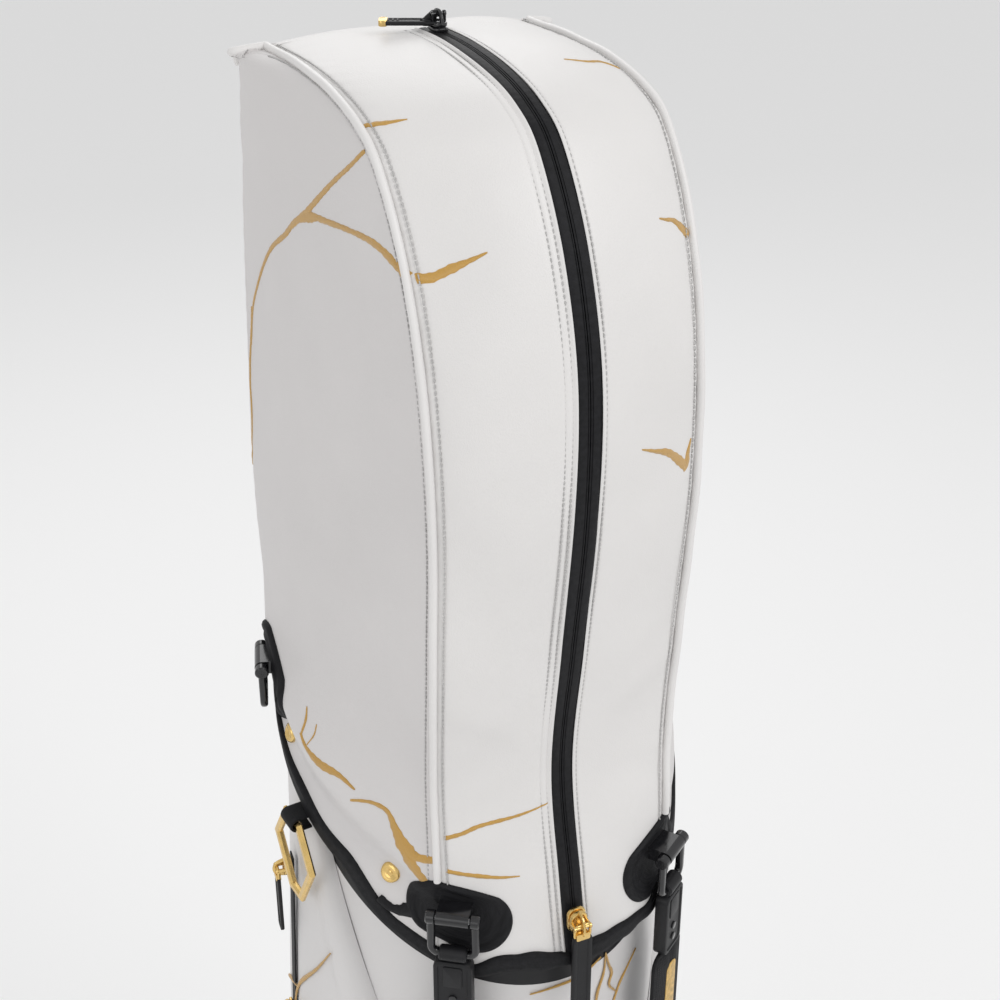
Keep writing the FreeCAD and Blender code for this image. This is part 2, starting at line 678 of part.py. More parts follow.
# ---------------------------------------------------------------- rings and straps
def ring_sites():
    """Name, angle and pin height of every ring on the bag."""
    rings = [(name, angle, z + PIN_RISE) for name, angle, z in port_sites()]
    y = site(SHOULDER_ANGLE)[0].y
    rings.append(("shoulder", SHOULDER_ANGLE, hem_z(y) - SHOULDER_BELOW_HEM))
    return rings


def ring_bracket():
    """Plate with one lug for a ring's pin, in the local frame with the pin at height 0."""
    plate = slab(PLATE[0], PLATE[1], -4 * BODY_WALL, PLATE_REACH, PLATE[1] / 2 - 0.01, 0, -PIN_RISE)
    lug = slab(2 * LUG_HALF, 2 * EYE_RADIUS, 0, PIN_REACH)
    nose = bar(V(-LUG_HALF, PIN_REACH, 0), V(LUG_HALF, PIN_REACH, 0), EYE_RADIUS)
    pin_hole = bar(V(-PLATE[0], PIN_REACH, 0), V(PLATE[0], PIN_REACH, 0), PIN_RADIUS)
    return fused([plate, lug, nose]).cut(pin_hole)


def pin_half():
    return LUG_HALF + EAR_GAP + EAR_WIDTH


def ring():
    """Rectangular ring with two ears on the pin, origin on the pin's axis."""
    middle = LUG_HALF + EAR_GAP + EAR_WIDTH / 2
    pieces = [bar(V(-middle, 0, -RING_DROP), V(middle, 0, -RING_DROP), RING_BAR)]
    for side in (-1, 1):
        x = side * middle
        pieces.append(bar(V(x - EAR_WIDTH / 2, 0, 0), V(x + EAR_WIDTH / 2, 0, 0), EYE_RADIUS))
        pieces.append(bar(V(x, 0, -RING_DROP), V(x, 0, -EYE_RADIUS / 2), RING_BAR))
        pieces.append(Part.makeSphere(RING_BAR, V(x, 0, -RING_DROP)))
    bore = bar(V(-2 * middle, 0, 0), V(2 * middle, 0, 0), PIN_RADIUS + PIN_CLEARANCE)
    return fused(pieces).cut(bore)


def strap_end():
    """Moulded strap end with an eye round a ring's lower bar, origin on that bar's axis."""
    bore = RING_BAR + PIN_CLEARANCE
    eye = bar(V(-STRAP_EYE_WIDTH / 2, 0, 0), V(STRAP_EYE_WIDTH / 2, 0, 0), bore + STRAP_EYE_WALL)
    neck = slab(STRAP_EYE_WIDTH, 2 * STRAP_END_GAP, -STRAP_THICK / 3, STRAP_THICK / 3, 0, 0, -STRAP_END_GAP)
    drop = STRAP_END_GAP + STRAP_END_LENGTH / 2
    block = slab(STRAP_END_WIDTH, STRAP_END_LENGTH, -STRAP_THICK / 2, STRAP_THICK / 2, 5, 0, -drop)
    whole = fused([eye, neck, block])
    return whole.cut(bar(V(-PAD_WIDTH, 0, 0), V(PAD_WIDTH, 0, 0), bore))


def strap_pad(length):
    """Padded strap with a webbing tail, origin on the ring bar's axis."""
    top = -STRAP_END_GAP - STRAP_END_LENGTH
    pad = slab(PAD_WIDTH, length, -STRAP_THICK / 2, STRAP_THICK / 2, 8, 0, top - length / 2)
    across, thick, long = TAIL
    tail = slab(across, long, -thick / 2, thick / 2, 0, 0, top - length - long / 2)
    return fused([pad, tail])


def strap_anchor():
    """Webbing tab with a slot on the body, where a strap's tail hooks on; origin at its top."""
    across, thick, long = ANCHOR_TAB
    tab = slab(across, long, -3 * BODY_WALL, thick, 4, 0, -long / 2)
    loop = slab(across, thick, thick - 1, PIN_REACH + thick, 0, 0, -long / 2)
    window_half = ANCHOR_SLOT[0] / 2
    window = slab(2 * window_half, FAR, thick + ANCHOR_SLOT[1] / 2, PIN_REACH, 0)
    return fused([tab, loop]).cut(window)


def strap_lengths():
    return {"front_left": PAD_FRONT, "front_right": PAD_FRONT, "shoulder": PAD_SHOULDER}


def off_body(shape):
    """What stands outside the body."""
    span = shape.BoundBox
    return shape.cut(body_prism(0, span.ZMin - BODY_WALL, span.ZMax + BODY_WALL))


def ring_nodes():
    nodes = {}
    brackets = []
    pins = []
    anchors = []
    for name, angle, z in ring_sites():
        foot, turn, _ = site(angle)
        pin = site(angle, 0, PIN_REACH)[0]
        brackets.append(off_body(placed(ring_bracket(), V(foot.x, foot.y, z), turn)))
        pin_at = V(pin.x, pin.y, z)
        pins.append(placed(bar(V(-pin_half(), 0, 0), V(pin_half(), 0, 0), PIN_RADIUS), pin_at, turn))
        nodes["ring_" + name] = placed(ring(), pin_at, turn)
        if name in strap_lengths():
            length = strap_lengths()[name]
            bar_at = V(pin.x, pin.y, z - RING_DROP)
            nodes["strap_end_" + name] = placed(strap_end(), bar_at, turn)
            nodes["strap_" + name] = placed(strap_pad(length), bar_at, turn)
            low = bar_at.z - STRAP_END_GAP - STRAP_END_LENGTH - length - TAIL[2] - ANCHOR_GAP
            anchors.append(off_body(placed(strap_anchor(), V(foot.x, foot.y, low), turn)))
    nodes["ring_brackets"] = Part.makeCompound(brackets)
    nodes["ring_pins"] = Part.makeCompound(pins)
    nodes["strap_anchors"] = Part.makeCompound(anchors)
    return nodes


# ---------------------------------------------------------------- towel ring
def towel_site():
    """Place of the towel ring's top bar on the left pocket, its turn, and the pocket's face there."""
    z = hem_z(TOWEL_Y) - TOWEL_BELOW_HEM
    grow = side_out(z)
    x = -(BODY_HALF_WIDTH + grow) * math.sqrt(1 - (TOWEL_Y / (BODY_HALF_DEPTH + grow)) ** 2)
    angle = math.degrees(math.atan2(x, -TOWEL_Y))
    face, turn, _ = site(angle, grow)
    hinge = site(angle, grow, TOWEL_REACH)[0]
    return V(face.x, face.y, z), V(hinge.x, hinge.y, z), turn


def towel_ring():
    """Six-sided ring of square bar, origin on its top bar's axis."""
    half = []
    for width, drop in TOWEL_OUTLINE:
        half.append(V(width, 0, drop))
    points = half + [V(-p.x, 0, p.z) for p in reversed(half)]
    pieces = []
    for index, point in enumerate(points):
        pieces.append(bar(point, points[(index + 1) % len(points)], TOWEL_BAR))
        pieces.append(Part.makeSphere(TOWEL_BAR, point))
    return fused(pieces)


def towel_nodes():
    face, hinge, turn = towel_site()
    width, height = TOWEL_TAB
    drop = 2 * TOWEL_BAR - height / 2
    reach = TOWEL_REACH + 2 * TOWEL_BAR
    tab = slab(width, height, -3 * BODY_WALL, reach, 0, 0, drop)
    tab = tab.cut(bar(V(-width, TOWEL_REACH, 0), V(width, TOWEL_REACH, 0), TOWEL_BAR + PIN_CLEARANCE))
    tab = placed(tab, face, turn).cut(side_form())
    return {"towel_tab": tab, "towel_ring": placed(towel_ring(), hinge, turn)}


# ---------------------------------------------------------------- whole bag
def bag_nodes():
    nodes = {
        "base_tub": base_tub(),
        "base_feet": base_feet(),
        "body_shell": body_shell(),
        "top_cuff": top_cuff(),
        "divider_sleeves": divider_sleeves(),
        "stay_rods": stay_rods(),
        "back_spine": back_spine(),
        "back_handle": back_handle(),
        "pocket_left": side_pocket(),
        "pocket_right": side_pocket().mirror(V(0, 0, 0), V(1, 0, 0)),
        "pocket_ball": front_pocket(BALL_POCKET),
        "pocket_accessory": front_pocket(ACCESSORY_POCKET),
        "pocket_zip_tapes": pocket_zip_tapes(),
    }
    for name, where, turn, lean, _ in pocket_slider_sites():
        nodes["slider_" + name] = placed(slider_body(SLIDER, lean), where, turn)
        hinge = bar_point(where, turn, lean, SLIDER)
        nodes["pull_" + name] = placed(pull_tab((PULL_WIDTH, PULL_LENGTH, PULL_THICK), SLIDER), hinge, turn)
    nodes.update(towel_nodes())
    nodes.update(ring_nodes())
    nodes.update(hood_nodes())
    return nodes


os.makedirs("parts", exist_ok=True)
for node, shape in bag_nodes().items():
    shape.exportStep("parts/" + node + ".step")
    print(node, len(shape.Solids), round(shape.Volume), shape.isValid())
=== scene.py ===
import json
import math

import bmesh
import bpy
import numpy as np
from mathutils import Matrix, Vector
from mathutils.bvhtree import BVHTree


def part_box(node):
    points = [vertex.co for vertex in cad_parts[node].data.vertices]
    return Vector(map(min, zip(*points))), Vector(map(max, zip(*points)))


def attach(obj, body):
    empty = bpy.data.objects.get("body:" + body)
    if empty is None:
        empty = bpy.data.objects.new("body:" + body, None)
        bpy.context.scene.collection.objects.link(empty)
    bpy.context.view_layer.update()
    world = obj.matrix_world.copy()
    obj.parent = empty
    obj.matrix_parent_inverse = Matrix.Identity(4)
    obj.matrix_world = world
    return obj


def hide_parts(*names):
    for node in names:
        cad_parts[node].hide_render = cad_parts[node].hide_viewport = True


# A golf staff bag with a zipped rain hood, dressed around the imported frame.  Shapes are worked
# out in millimetres in the frame's own axes and turned into metres when an object is made.
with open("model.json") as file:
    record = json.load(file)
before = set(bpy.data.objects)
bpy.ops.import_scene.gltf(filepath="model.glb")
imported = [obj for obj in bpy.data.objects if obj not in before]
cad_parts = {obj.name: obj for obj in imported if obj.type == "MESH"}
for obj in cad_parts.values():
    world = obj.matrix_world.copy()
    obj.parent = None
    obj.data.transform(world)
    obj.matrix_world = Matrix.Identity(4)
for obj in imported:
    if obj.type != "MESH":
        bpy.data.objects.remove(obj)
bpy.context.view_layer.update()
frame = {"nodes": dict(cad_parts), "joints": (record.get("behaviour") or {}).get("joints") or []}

MM = 0.001
UP = np.array([0.0, 0.0, 1.0])
JOINTS = {joint["name"]: joint for joint in frame["joints"]}


def box_mm(node):
    low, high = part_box(node)
    return np.array(low) / MM, np.array(high) / MM


# ---------------------------------------------------------------- body sizes, from the frame
SHELL_LOW, SHELL_HIGH = box_mm("body_shell")
HALF_X = SHELL_HIGH[0]
HALF_Y = SHELL_HIGH[1]
HEM_HEIGHT = 810.0
HEM_SLOPE = 0.54
CUFF_BELOW_HEM = 34.0
BODY_WALL = 3.0

# Hood stations, as the frame's hood has them: front point (out, rise), back point (out, rise),
# depth of the piped seam, half widths at the seam, mid side and back corner, corner depth.
STATIONS = np.array([
    (14, -78, 10, 75.6, 40, -38, 11, -16, 60),
    (2, -22, 10, 96, 24, -39, 7, -13, 38),
    (-13, 54, 10, 122, 10, -39, -2, -11, 26),
    (-2, 142, 12, 176, 15, -38, -11, -11, 24),
    (10, 230, 13, 240, 21, -37, -16, -13, 25),
    (10, 312, 13, 292, 27, -36, -18, -15, 25),
    (-7, 374, 13, 335, 28, -35, -20, -17, 25),
    (-37, 420, 13, 362, 27, -34, -21, -19, 25),
    (-65, 437, 13, 377, 28, -34, -21, -19, 25),
    (-103, 445, 13, 394, 29, -34, -22, -20, 25),
    (-150, 447, 12, 410, 29, -34, -22, -21, 24),
    (-210, 443, 9, 424, 27, -34, -22, -22, 20),
])
LAST = len(STATIONS) - 1
ZIP_HALF = 7.0
CROWN_SEAM = 10.73             # station where the zip ends and the back panel begins
PORT_ANGLE_FRONT = 29.7
PORT_ANGLE_REAR = 112.0
PATCH_SIZE = (65.0, 42.0)       # binding patch round a port
PATCH_DROP = 8.0                # its middle, below the ring's pin


# ---------------------------------------------------------------- small mathematics
def unit(v):
    v = np.asarray(v, float)
    return v / np.linalg.norm(v)


def units(vs):
    return vs / np.maximum(np.linalg.norm(vs, axis=-1, keepdims=True), 1e-9)


def smooth(low, high, value):
    share = np.clip((value - low) / (high - low), 0.0, 1.0)
    return share * share * (3 - 2 * share)


def ridge(distance, width):
    return np.exp(-(distance / width) ** 2)


def hem_z(y):
    return HEM_HEIGHT + HEM_SLOPE * y


def travelled(points):
    """Distance travelled along a line of points."""
    return np.r_[0, np.cumsum(np.linalg.norm(np.diff(points, axis=0), axis=1))]


def rounding(depth, radius):
    """Rise of a rounded edge, from 0 at the edge to 1 at a radius in from it."""
    return math.sqrt(max(0.0, 1 - (1 - min(depth, radius) / radius) ** 2))


def curve_through(points, count):
    """Smooth curve through the given points, evenly sampled."""
    p = np.asarray(points, float)
    ends = np.vstack([2 * p[0] - p[1], p, 2 * p[-1] - p[-2]])
    fine = []
    for i in range(len(p) - 1):
        a, b, c, d = ends[i:i + 4]
        for f in np.linspace(0, 1, 12, endpoint=False):
            fine.append(0.5 * (2 * b + (c - a) * f + (2 * a - 5 * b + 4 * c - d) * f ** 2
                               + (3 * b - a - 3 * c + d) * f ** 3))
    fine.append(p[-1])
    return evenly(np.array(fine), count)


def evenly(points, count):
    steps = travelled(points)
    where = np.linspace(0, steps[-1], count)
    return np.stack([np.interp(where, steps, points[:, k]) for k in range(points.shape[1])], axis=1)


def site(angle, grow=0.0):
    """Point on the grown body outline at an angle from the front, and its outward normal."""
    half_x, half_y = HALF_X + grow, HALF_Y + grow
    s, c = math.sin(math.radians(angle)), -math.cos(math.radians(angle))
    reach = 1.0 / math.hypot(s / half_x, c / half_y)
    normal = unit([reach * s / half_x ** 2, reach * c / half_y ** 2, 0])
    return np.array([reach * s, reach * c, 0]), normal


# ---------------------------------------------------------------- meshes
class Place:
    """Local frame: X along the tangent, Y outwards, Z up."""

    def __init__(self, origin, outward, up=UP):
        y = unit(outward)
        z = unit(np.asarray(up) - np.dot(up, y) * y)
        self.origin = np.asarray(origin, float)
        self.axes = np.array([np.cross(y, z), y, z])

    def to_world(self, verts):
        return np.asarray(verts, float) @ self.axes + self.origin

    def moved(self, x=0.0, y=0.0, z=0.0):
        copy = Place([0, 0, 0], self.axes[1], self.axes[2])
        copy.origin = self.origin + np.array([x, y, z]) @ self.axes
        return copy


def joint_place(name):
    """Place of a joint's axis, with Y pointing away from the bag."""
    joint = JOINTS[name]
    origin = np.array(joint["pos_m"]) / MM
    outward = np.cross(joint["axis"], UP)
    if np.dot(outward[:2], origin[:2]) < 0:
        outward = -outward
    return Place(origin, outward)


class Piece:
    """Closed shells, in millimetres, that make one object."""

    def __init__(self, place=None):
        self.place = place
        self.verts = []
        self.faces = []
        self.kinds = []
        self.uvs = []

    def add(self, shell, place=None, kind=0):
        verts, faces = np.asarray(shell[0], float), shell[1]
        uv = shell[2] if len(shell) > 2 else np.zeros((len(verts), 2))
        place = place or self.place
        if place is not None:
            verts = place.to_world(verts)
        start = sum(len(v) for v in self.verts)
        self.verts.append(verts)
        self.uvs.append(np.asarray(uv, float))
        self.faces += [tuple(start + i for i in face) for face in faces]
        self.kinds += [kind] * len(faces)
        return self

    def make(self, name, body, slot, materials, replaced=(), sharp=38.0):
        mesh = bpy.data.meshes.new(name)
        mesh.from_pydata((np.vstack(self.verts) * MM).tolist(), [], self.faces)
        layer = mesh.uv_layers.new(name="UVMap")
        uv = np.vstack(self.uvs) * MM
        index = np.zeros(len(mesh.loops), int)
        mesh.loops.foreach_get("vertex_index", index)
        layer.data.foreach_set("uv", uv[index].ravel())
        mesh.polygons.foreach_set("material_index", self.kinds)
        mesh.polygons.foreach_set("use_smooth", [True] * len(self.faces))
        bm = bmesh.new()
        bm.from_mesh(mesh)
        bmesh.ops.recalc_face_normals(bm, faces=bm.faces)
        for edge in bm.edges:
            if len(edge.link_faces) == 2 and edge.calc_face_angle(0) > math.radians(sharp):
                edge.smooth = False
        bm.to_mesh(mesh)
        bm.free()
        for material in materials if isinstance(materials, (list, tuple)) else [materials]:
            mesh.materials.append(material)
        piece = bpy.data.objects.new(name, mesh)
        bpy.context.scene.collection.objects.link(piece)
        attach(piece, body)
        if replaced:
            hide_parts(*replaced)
        return piece


def grid_normals(grid, centre):
    rows = np.gradient(grid, axis=0)
    cols = np.gradient(grid, axis=1)
    normals = units(np.cross(rows, cols))
    if np.sum(normals * (grid - centre)) < 0:
        normals = -normals
    return normals


def grid_shell(outer, inner, wrap=False):
    """Closed shell between two grids of the same size; wrap joins the last column to the first."""
    rows, cols = outer.shape[:2]
    half = rows * cols
    last = cols if wrap else cols - 1
    faces = []
    for r in range(rows - 1):
        for c in range(last):
            d = (c + 1) % cols
            quad = (r * cols + c, r * cols + d, (r + 1) * cols + d, (r + 1) * cols + c)
            faces.append(quad)
            faces.append(tuple(half + i for i in reversed(quad)))
    for r in (0, rows - 1):
        for c in range(last):
            a, b = r * cols + c, r * cols + (c + 1) % cols
            edge = (b, a, half + a, half + b)
            faces.append(edge if r == 0 else edge[::-1])
    if not wrap:
        for c in (0, cols - 1):
            for r in range(rows - 1):
                a, b = r * cols + c, (r + 1) * cols + c
                edge = (a, b, half + b, half + a)
                faces.append(edge if c == 0 else edge[::-1])
    return np.vstack([outer.reshape(-1, 3), inner.reshape(-1, 3)]), faces


def shell_of(rows, cols, pair, wrap=False):
    """Closed shell from pair(u, v), which gives a point outside and the point inside it."""
    grid = np.array([[pair(u, v) for u in cols] for v in rows])
    return grid_shell(grid[:, :, 0], grid[:, :, 1], wrap)


def ring_faces(count, sides, closed=False):
    """Faces between rings of points; closed joins the last ring to the first, or both ends are capped."""
    faces = []
    for r in range(count if closed else count - 1):
        low, high = r * sides, (r + 1) % count * sides
        for c in range(sides):
            d = (c + 1) % sides
            faces.append((low + c, low + d, high + d, high + c))
    if not closed:
        faces.append(tuple(range(sides)))
        faces.append(tuple(reversed(range((count - 1) * sides, count * sides))))
    return faces


def sweep(path, section, normals, closed=False, scale=None):
    """A closed section of (out, across) points along a path whose outward normals are given."""
    path = np.asarray(path, float)
    count = len(path)
    if closed:
        tangents = units(np.roll(path, -1, axis=0) - np.roll(path, 1, axis=0))
    else:
        tangents = units(np.gradient(path, axis=0))
    normals = np.broadcast_to(normals, path.shape)
    across = units(np.cross(tangents, normals))
    out = units(np.cross(across, tangents))
    section = np.asarray(section, float)
    size = np.ones(count) if scale is None else np.asarray(scale)
    ring = (out[:, None] * section[None, :, :1] + across[:, None] * section[None, :, 1:])
    verts = path[:, None] + ring * size[:, None, None]
    steps, girth = travelled(path), travelled(section)
    uv = np.stack(np.broadcast_arrays(girth[None, :], steps[:, None]), axis=-1).reshape(-1, 2)
    return verts.reshape(-1, 3), ring_faces(count, len(section), closed), uv


def round_section(out, across=None, power=2.0, count=12):
    across = out if across is None else across
    turn = np.linspace(0, 2 * math.pi, count, endpoint=False)
    c, s = np.cos(turn), np.sin(turn)
    bend = 2.0 / power
    return np.stack([out * np.sign(c) * np.abs(c) ** bend, across * np.sign(s) * np.abs(s) ** bend], axis=1)


def outline(width, height, radius, steps=6):
    """Rounded rectangle as (x, z) points."""
    radius = max(min(radius, width / 2 - 0.01, height / 2 - 0.01), 0.05)
    points = []
    for quarter, (sx, sz) in enumerate(((1, 1), (-1, 1), (-1, -1), (1, -1))):
        for k in range(steps + 1):
            turn = (quarter + k / steps) * math.pi / 2
            points.append((sx * (width / 2 - radius) + radius * math.cos(turn),
                           sz * (height / 2 - radius) + radius * math.sin(turn)))
    return points


def layered(width, height, radius, layers, x=0.0, z=0.0, steps=6):
    """Plate across local Y built up of rounded outlines: each layer is (inset, y)."""
    verts = []
    for inset, y in layers:
        ring = outline(width - 2 * inset, height - 2 * inset, radius - inset, steps)
        verts += [(x + px, y, z + pz) for px, pz in ring]
    uv = [(v[0], v[2]) for v in verts]
    return verts, ring_faces(len(layers), 4 * (steps + 1)), uv


def plate_layers(y0, y1, bevel, recess=None):
    """Layers of a bevelled plate, with an optional sunk field (inset, depth) on its outer face."""
    layers = [(bevel, y0), (0.3 * bevel, y0 + 0.3 * bevel), (0, y0 + bevel)]
    layers += [(0, y1 - bevel), (0.3 * bevel, y1 - 0.3 * bevel), (bevel, y1)]
    if recess:
        inset, depth = recess
        layers += [(inset, y1), (inset + 0.25, y1 - 0.3 * depth), (inset + 0.5, y1 - depth)]
    return layers


def rod(start, end, radius, count=16, bevel=0.25):
    """Round bar with bevelled ends."""
    start, end = np.asarray(start, float), np.asarray(end, float)
    way = unit(end - start)
    cut = min(bevel, radius * 0.4)
    path = [start, start + way * cut, end - way * cut, end]
    side = unit(np.cross(way, [0.31, 0.52, 0.79]))
    share = (radius - cut) / radius
    return sweep(path, round_section(radius, count=count), side, scale=[share, 1, 1, share])


# ---------------------------------------------------------------- materials
class Finish:
    """Principled material whose colour, polish and relief come from procedural textures."""

    def __init__(self, name, colour, rough, metallic=0.0, space="Object"):
        self.made = bpy.data.materials.new(name)
        self.made.use_nodes = True
        self.nodes, self.links = self.made.node_tree.nodes, self.made.node_tree.links
        self.colour, self.rough = colour, rough
        self.shader = self.nodes["Principled BSDF"]
        self.set(Base_Color=(*colour, 1), Roughness=rough, Metallic=metallic)
        self.where = self.nodes.new("ShaderNodeTexCoord").outputs[space] if space else None

    def set(self, **sockets):
        for socket, value in sockets.items():
            self.shader.inputs[socket.replace("_", " ")].default_value = value

    def texture(self, kind, scale, output="Fac", where=None, **sockets):
        node = self.nodes.new("ShaderNodeTex" + kind)
        node.inputs["Scale"].default_value = scale
        for socket, value in sockets.items():
            node.inputs[socket].default_value = value
        self.links.new(where or self.where, node.inputs["Vector"])
        return node.outputs[output]

    def wave(self, direction, thread, distortion, detail):
        """Threads laid side by side, a given distance apart."""
        bands = self.texture("Wave", 0.32 / thread, Distortion=distortion, Detail=detail)
        bands.node.bands_direction = direction
        return bands

    def tint(self, factor, low, high):
        ramp = self.nodes.new("ShaderNodeValToRGB")
        for element, colour, position in zip(ramp.color_ramp.elements, (low, high), (0.3, 0.7)):
            element.color = (*colour, 1)
            element.position = position
        self.links.new(factor, ramp.inputs["Fac"])
        self.links.new(ramp.outputs["Color"], self.shader.inputs["Base Color"])

    def polish(self, factor, less, more):
        """Roughness between its value less one step and plus another."""
        node = self.nodes.new("ShaderNodeMapRange")
        node.inputs["To Min"].default_value = self.rough - less
        node.inputs["To Max"].default_value = self.rough + more
        self.links.new(factor, node.inputs["Value"])
        self.links.new(node.outputs["Result"], self.shader.inputs["Roughness"])

    def relief(self, *layers):
        """Chain of bumps, each (height output, strength, distance in metres)."""
        below = None
        for height, strength, distance in layers:
            bump = self.nodes.new("ShaderNodeBump")
            bump.inputs["Strength"].default_value = strength
            bump.inputs["Distance"].default_value = distance
            self.links.new(height, bump.inputs["Height"])
            if below is not None:
                self.links.new(below, bump.inputs["Normal"])
            below = bump.outputs["Normal"]
        self.links.new(below, self.shader.inputs["Normal"])


def shade(colour, share, lift=0.0):
    return tuple(min(1.0, share * c + lift) for c in colour)


def leather(name, colour, rough=0.44, grain=1150.0, relief=0.22):
    """Coated leather: pebble grain, fine pores and slow patches of tone."""
    finish = Finish(name, colour, rough)
    patches = finish.texture("Noise", 14.0, Detail=5.0)
    pebbles = finish.texture("Voronoi", grain, "Distance")
    pores = finish.texture("Noise", 5200.0, Detail=3.0)
    slack = finish.texture("Noise", 46.0, Detail=3.0, Roughness=0.45)
    finish.tint(patches, shade(colour, 0.955), colour)
    finish.polish(patches, 0.07, 0.09)
    finish.relief((slack, 0.10, 0.0030), (pebbles, relief, 0.00035), (pores, 0.12, 0.00012))
    finish.set(Specular_IOR_Level=0.42, Coat_Weight=0.10, Coat_Roughness=0.45)
    return finish.made


def moulded(name, colour, rough, relief=0.1, gloss=0.0):
    """Moulded plastic or rubber with a fine spark-eroded skin and faint scuffs."""
    finish = Finish(name, colour, rough)
    skin = finish.texture("Noise", 2600.0, Detail=4.0)
    scuffs = finish.texture("Noise", 60.0, Detail=6.0, Roughness=0.65)
    finish.tint(scuffs, colour, shade(colour, 1.8, 0.002))
    finish.polish(scuffs, 0.06, 0.12)
    finish.relief((skin, relief, 0.0002))
    finish.set(Coat_Weight=gloss, Coat_Roughness=0.12, Specular_IOR_Level=0.3)
    return finish.made


def metal(name, colour, rough):
    """Plated metal: slow variation in polish and fine handling scratches."""
    finish = Finish(name, colour, rough, 1.0)
    wear = finish.texture("Noise", 160.0, Detail=5.0)
    stretch = finish.nodes.new("ShaderNodeMapping")
    stretch.inputs["Scale"].default_value = (1.0, 1.0, 0.06)
    finish.links.new(finish.where, stretch.inputs["Vector"])
    scratches = finish.texture("Noise", 2400.0, where=stretch.outputs["Vector"], Detail=2.0)
    finish.tint(wear, shade(colour, 0.82), colour)
    finish.polish(wear, 0.06, 0.1)
    finish.relief((scratches, 0.05, 0.0001))
    return finish.made


def woven(name, colour, thread=0.0011, rough=0.82, relief=0.55, sheen=0.25):
    """Woven webbing or cloth, laid out along the piece's own length."""
    finish = Finish(name, colour, rough, space="UV")
    cross = finish.nodes.new("ShaderNodeMath")
    cross.operation = "MULTIPLY"
    for socket, direction in zip(cross.inputs, "XY"):
        finish.links.new(finish.wave(direction, thread, 0.6, 1.0), socket)
    tone = finish.texture("Noise", 300.0, Detail=3.0)
    finish.tint(tone, colour, shade(colour, 1.9, 0.003))
    finish.relief((cross.outputs["Value"], relief, 0.0004))
    finish.set(Sheen_Weight=sheen, Sheen_Roughness=0.5, Specular_IOR_Level=0.22)
    return finish.made


def satin_thread(name, colour, thread=0.00042):
    """Satin stitch: shiny threads laid side by side across the line, with painted shade darkening the
    grooves between them.
    """
    finish = Finish(name, colour, 0.38, space="UV")
    wave = finish.wave("Y", thread, 1.4, 2.0)
    # The wave's low grooves darken the colour to 0.55 of the thread's own: painted shade between the
    # threads.
    finish.tint(wave, shade(colour, 0.55), colour)
    finish.relief((wave, 0.6, 0.0003))
    finish.set(Sheen_Weight=0.3, Anisotropic=0.5)
    return finish.made


WHITE = leather("white_leather", (0.735, 0.72, 0.71))
# Side panels: the white leather darkened to grey, which is painted shade of the panels turned away from the
# light.
SIDE_PAINTED_SHADE = leather("white_leather_painted_shade", (0.66, 0.64, 0.635), rough=0.5)
BODY = leather("body_leather", (0.68, 0.665, 0.66), rough=0.48)
PIPING = leather("piping_leather", (0.76, 0.745, 0.735), rough=0.4, grain=1900.0, relief=0.1)
ZIP = woven("waterproof_zip_tape", (0.004, 0.004, 0.005), thread=0.0007, rough=0.55, relief=0.25, sheen=0.0)
BINDING = woven("black_binding", (0.004, 0.004, 0.005), thread=0.0009, rough=0.6, relief=0.4, sheen=0.0)
GOLD = metal("gold_plating", (0.83, 0.58, 0.22), 0.24)
THREAD = satin_thread("gold_satin_thread", (0.74, 0.42, 0.085))
WHITE_THREAD = satin_thread("white_thread", (0.70, 0.69, 0.68), 0.0003)
RUBBER = moulded("pull_rubber", (0.005, 0.005, 0.006), 0.46)
GLOSS = moulded("gloss_black", (0.006, 0.006, 0.007), 0.16, relief=0.02, gloss=0.6)
PLASTIC = moulded("matt_black", (0.005, 0.005, 0.006), 0.42, relief=0.14)
PAD_CLOTH = woven("strap_mesh", (0.006, 0.006, 0.007), thread=0.0019, relief=0.9, sheen=0.05)
GOLD_MESH = woven("gold_mesh", (0.42, 0.27, 0.08), thread=0.0019, relief=0.9, rough=0.55)
LINING = woven("divider_cloth", (0.10, 0.10, 0.105), thread=0.0012)
FOOT = moulded("foot_rubber", (0.02, 0.02, 0.02), 0.7, relief=0.3)
STEEL = metal("pin_steel", (0.55, 0.55, 0.56), 0.3)
STAY = metal("stay_tube", (0.62, 0.62, 0.64), 0.38)


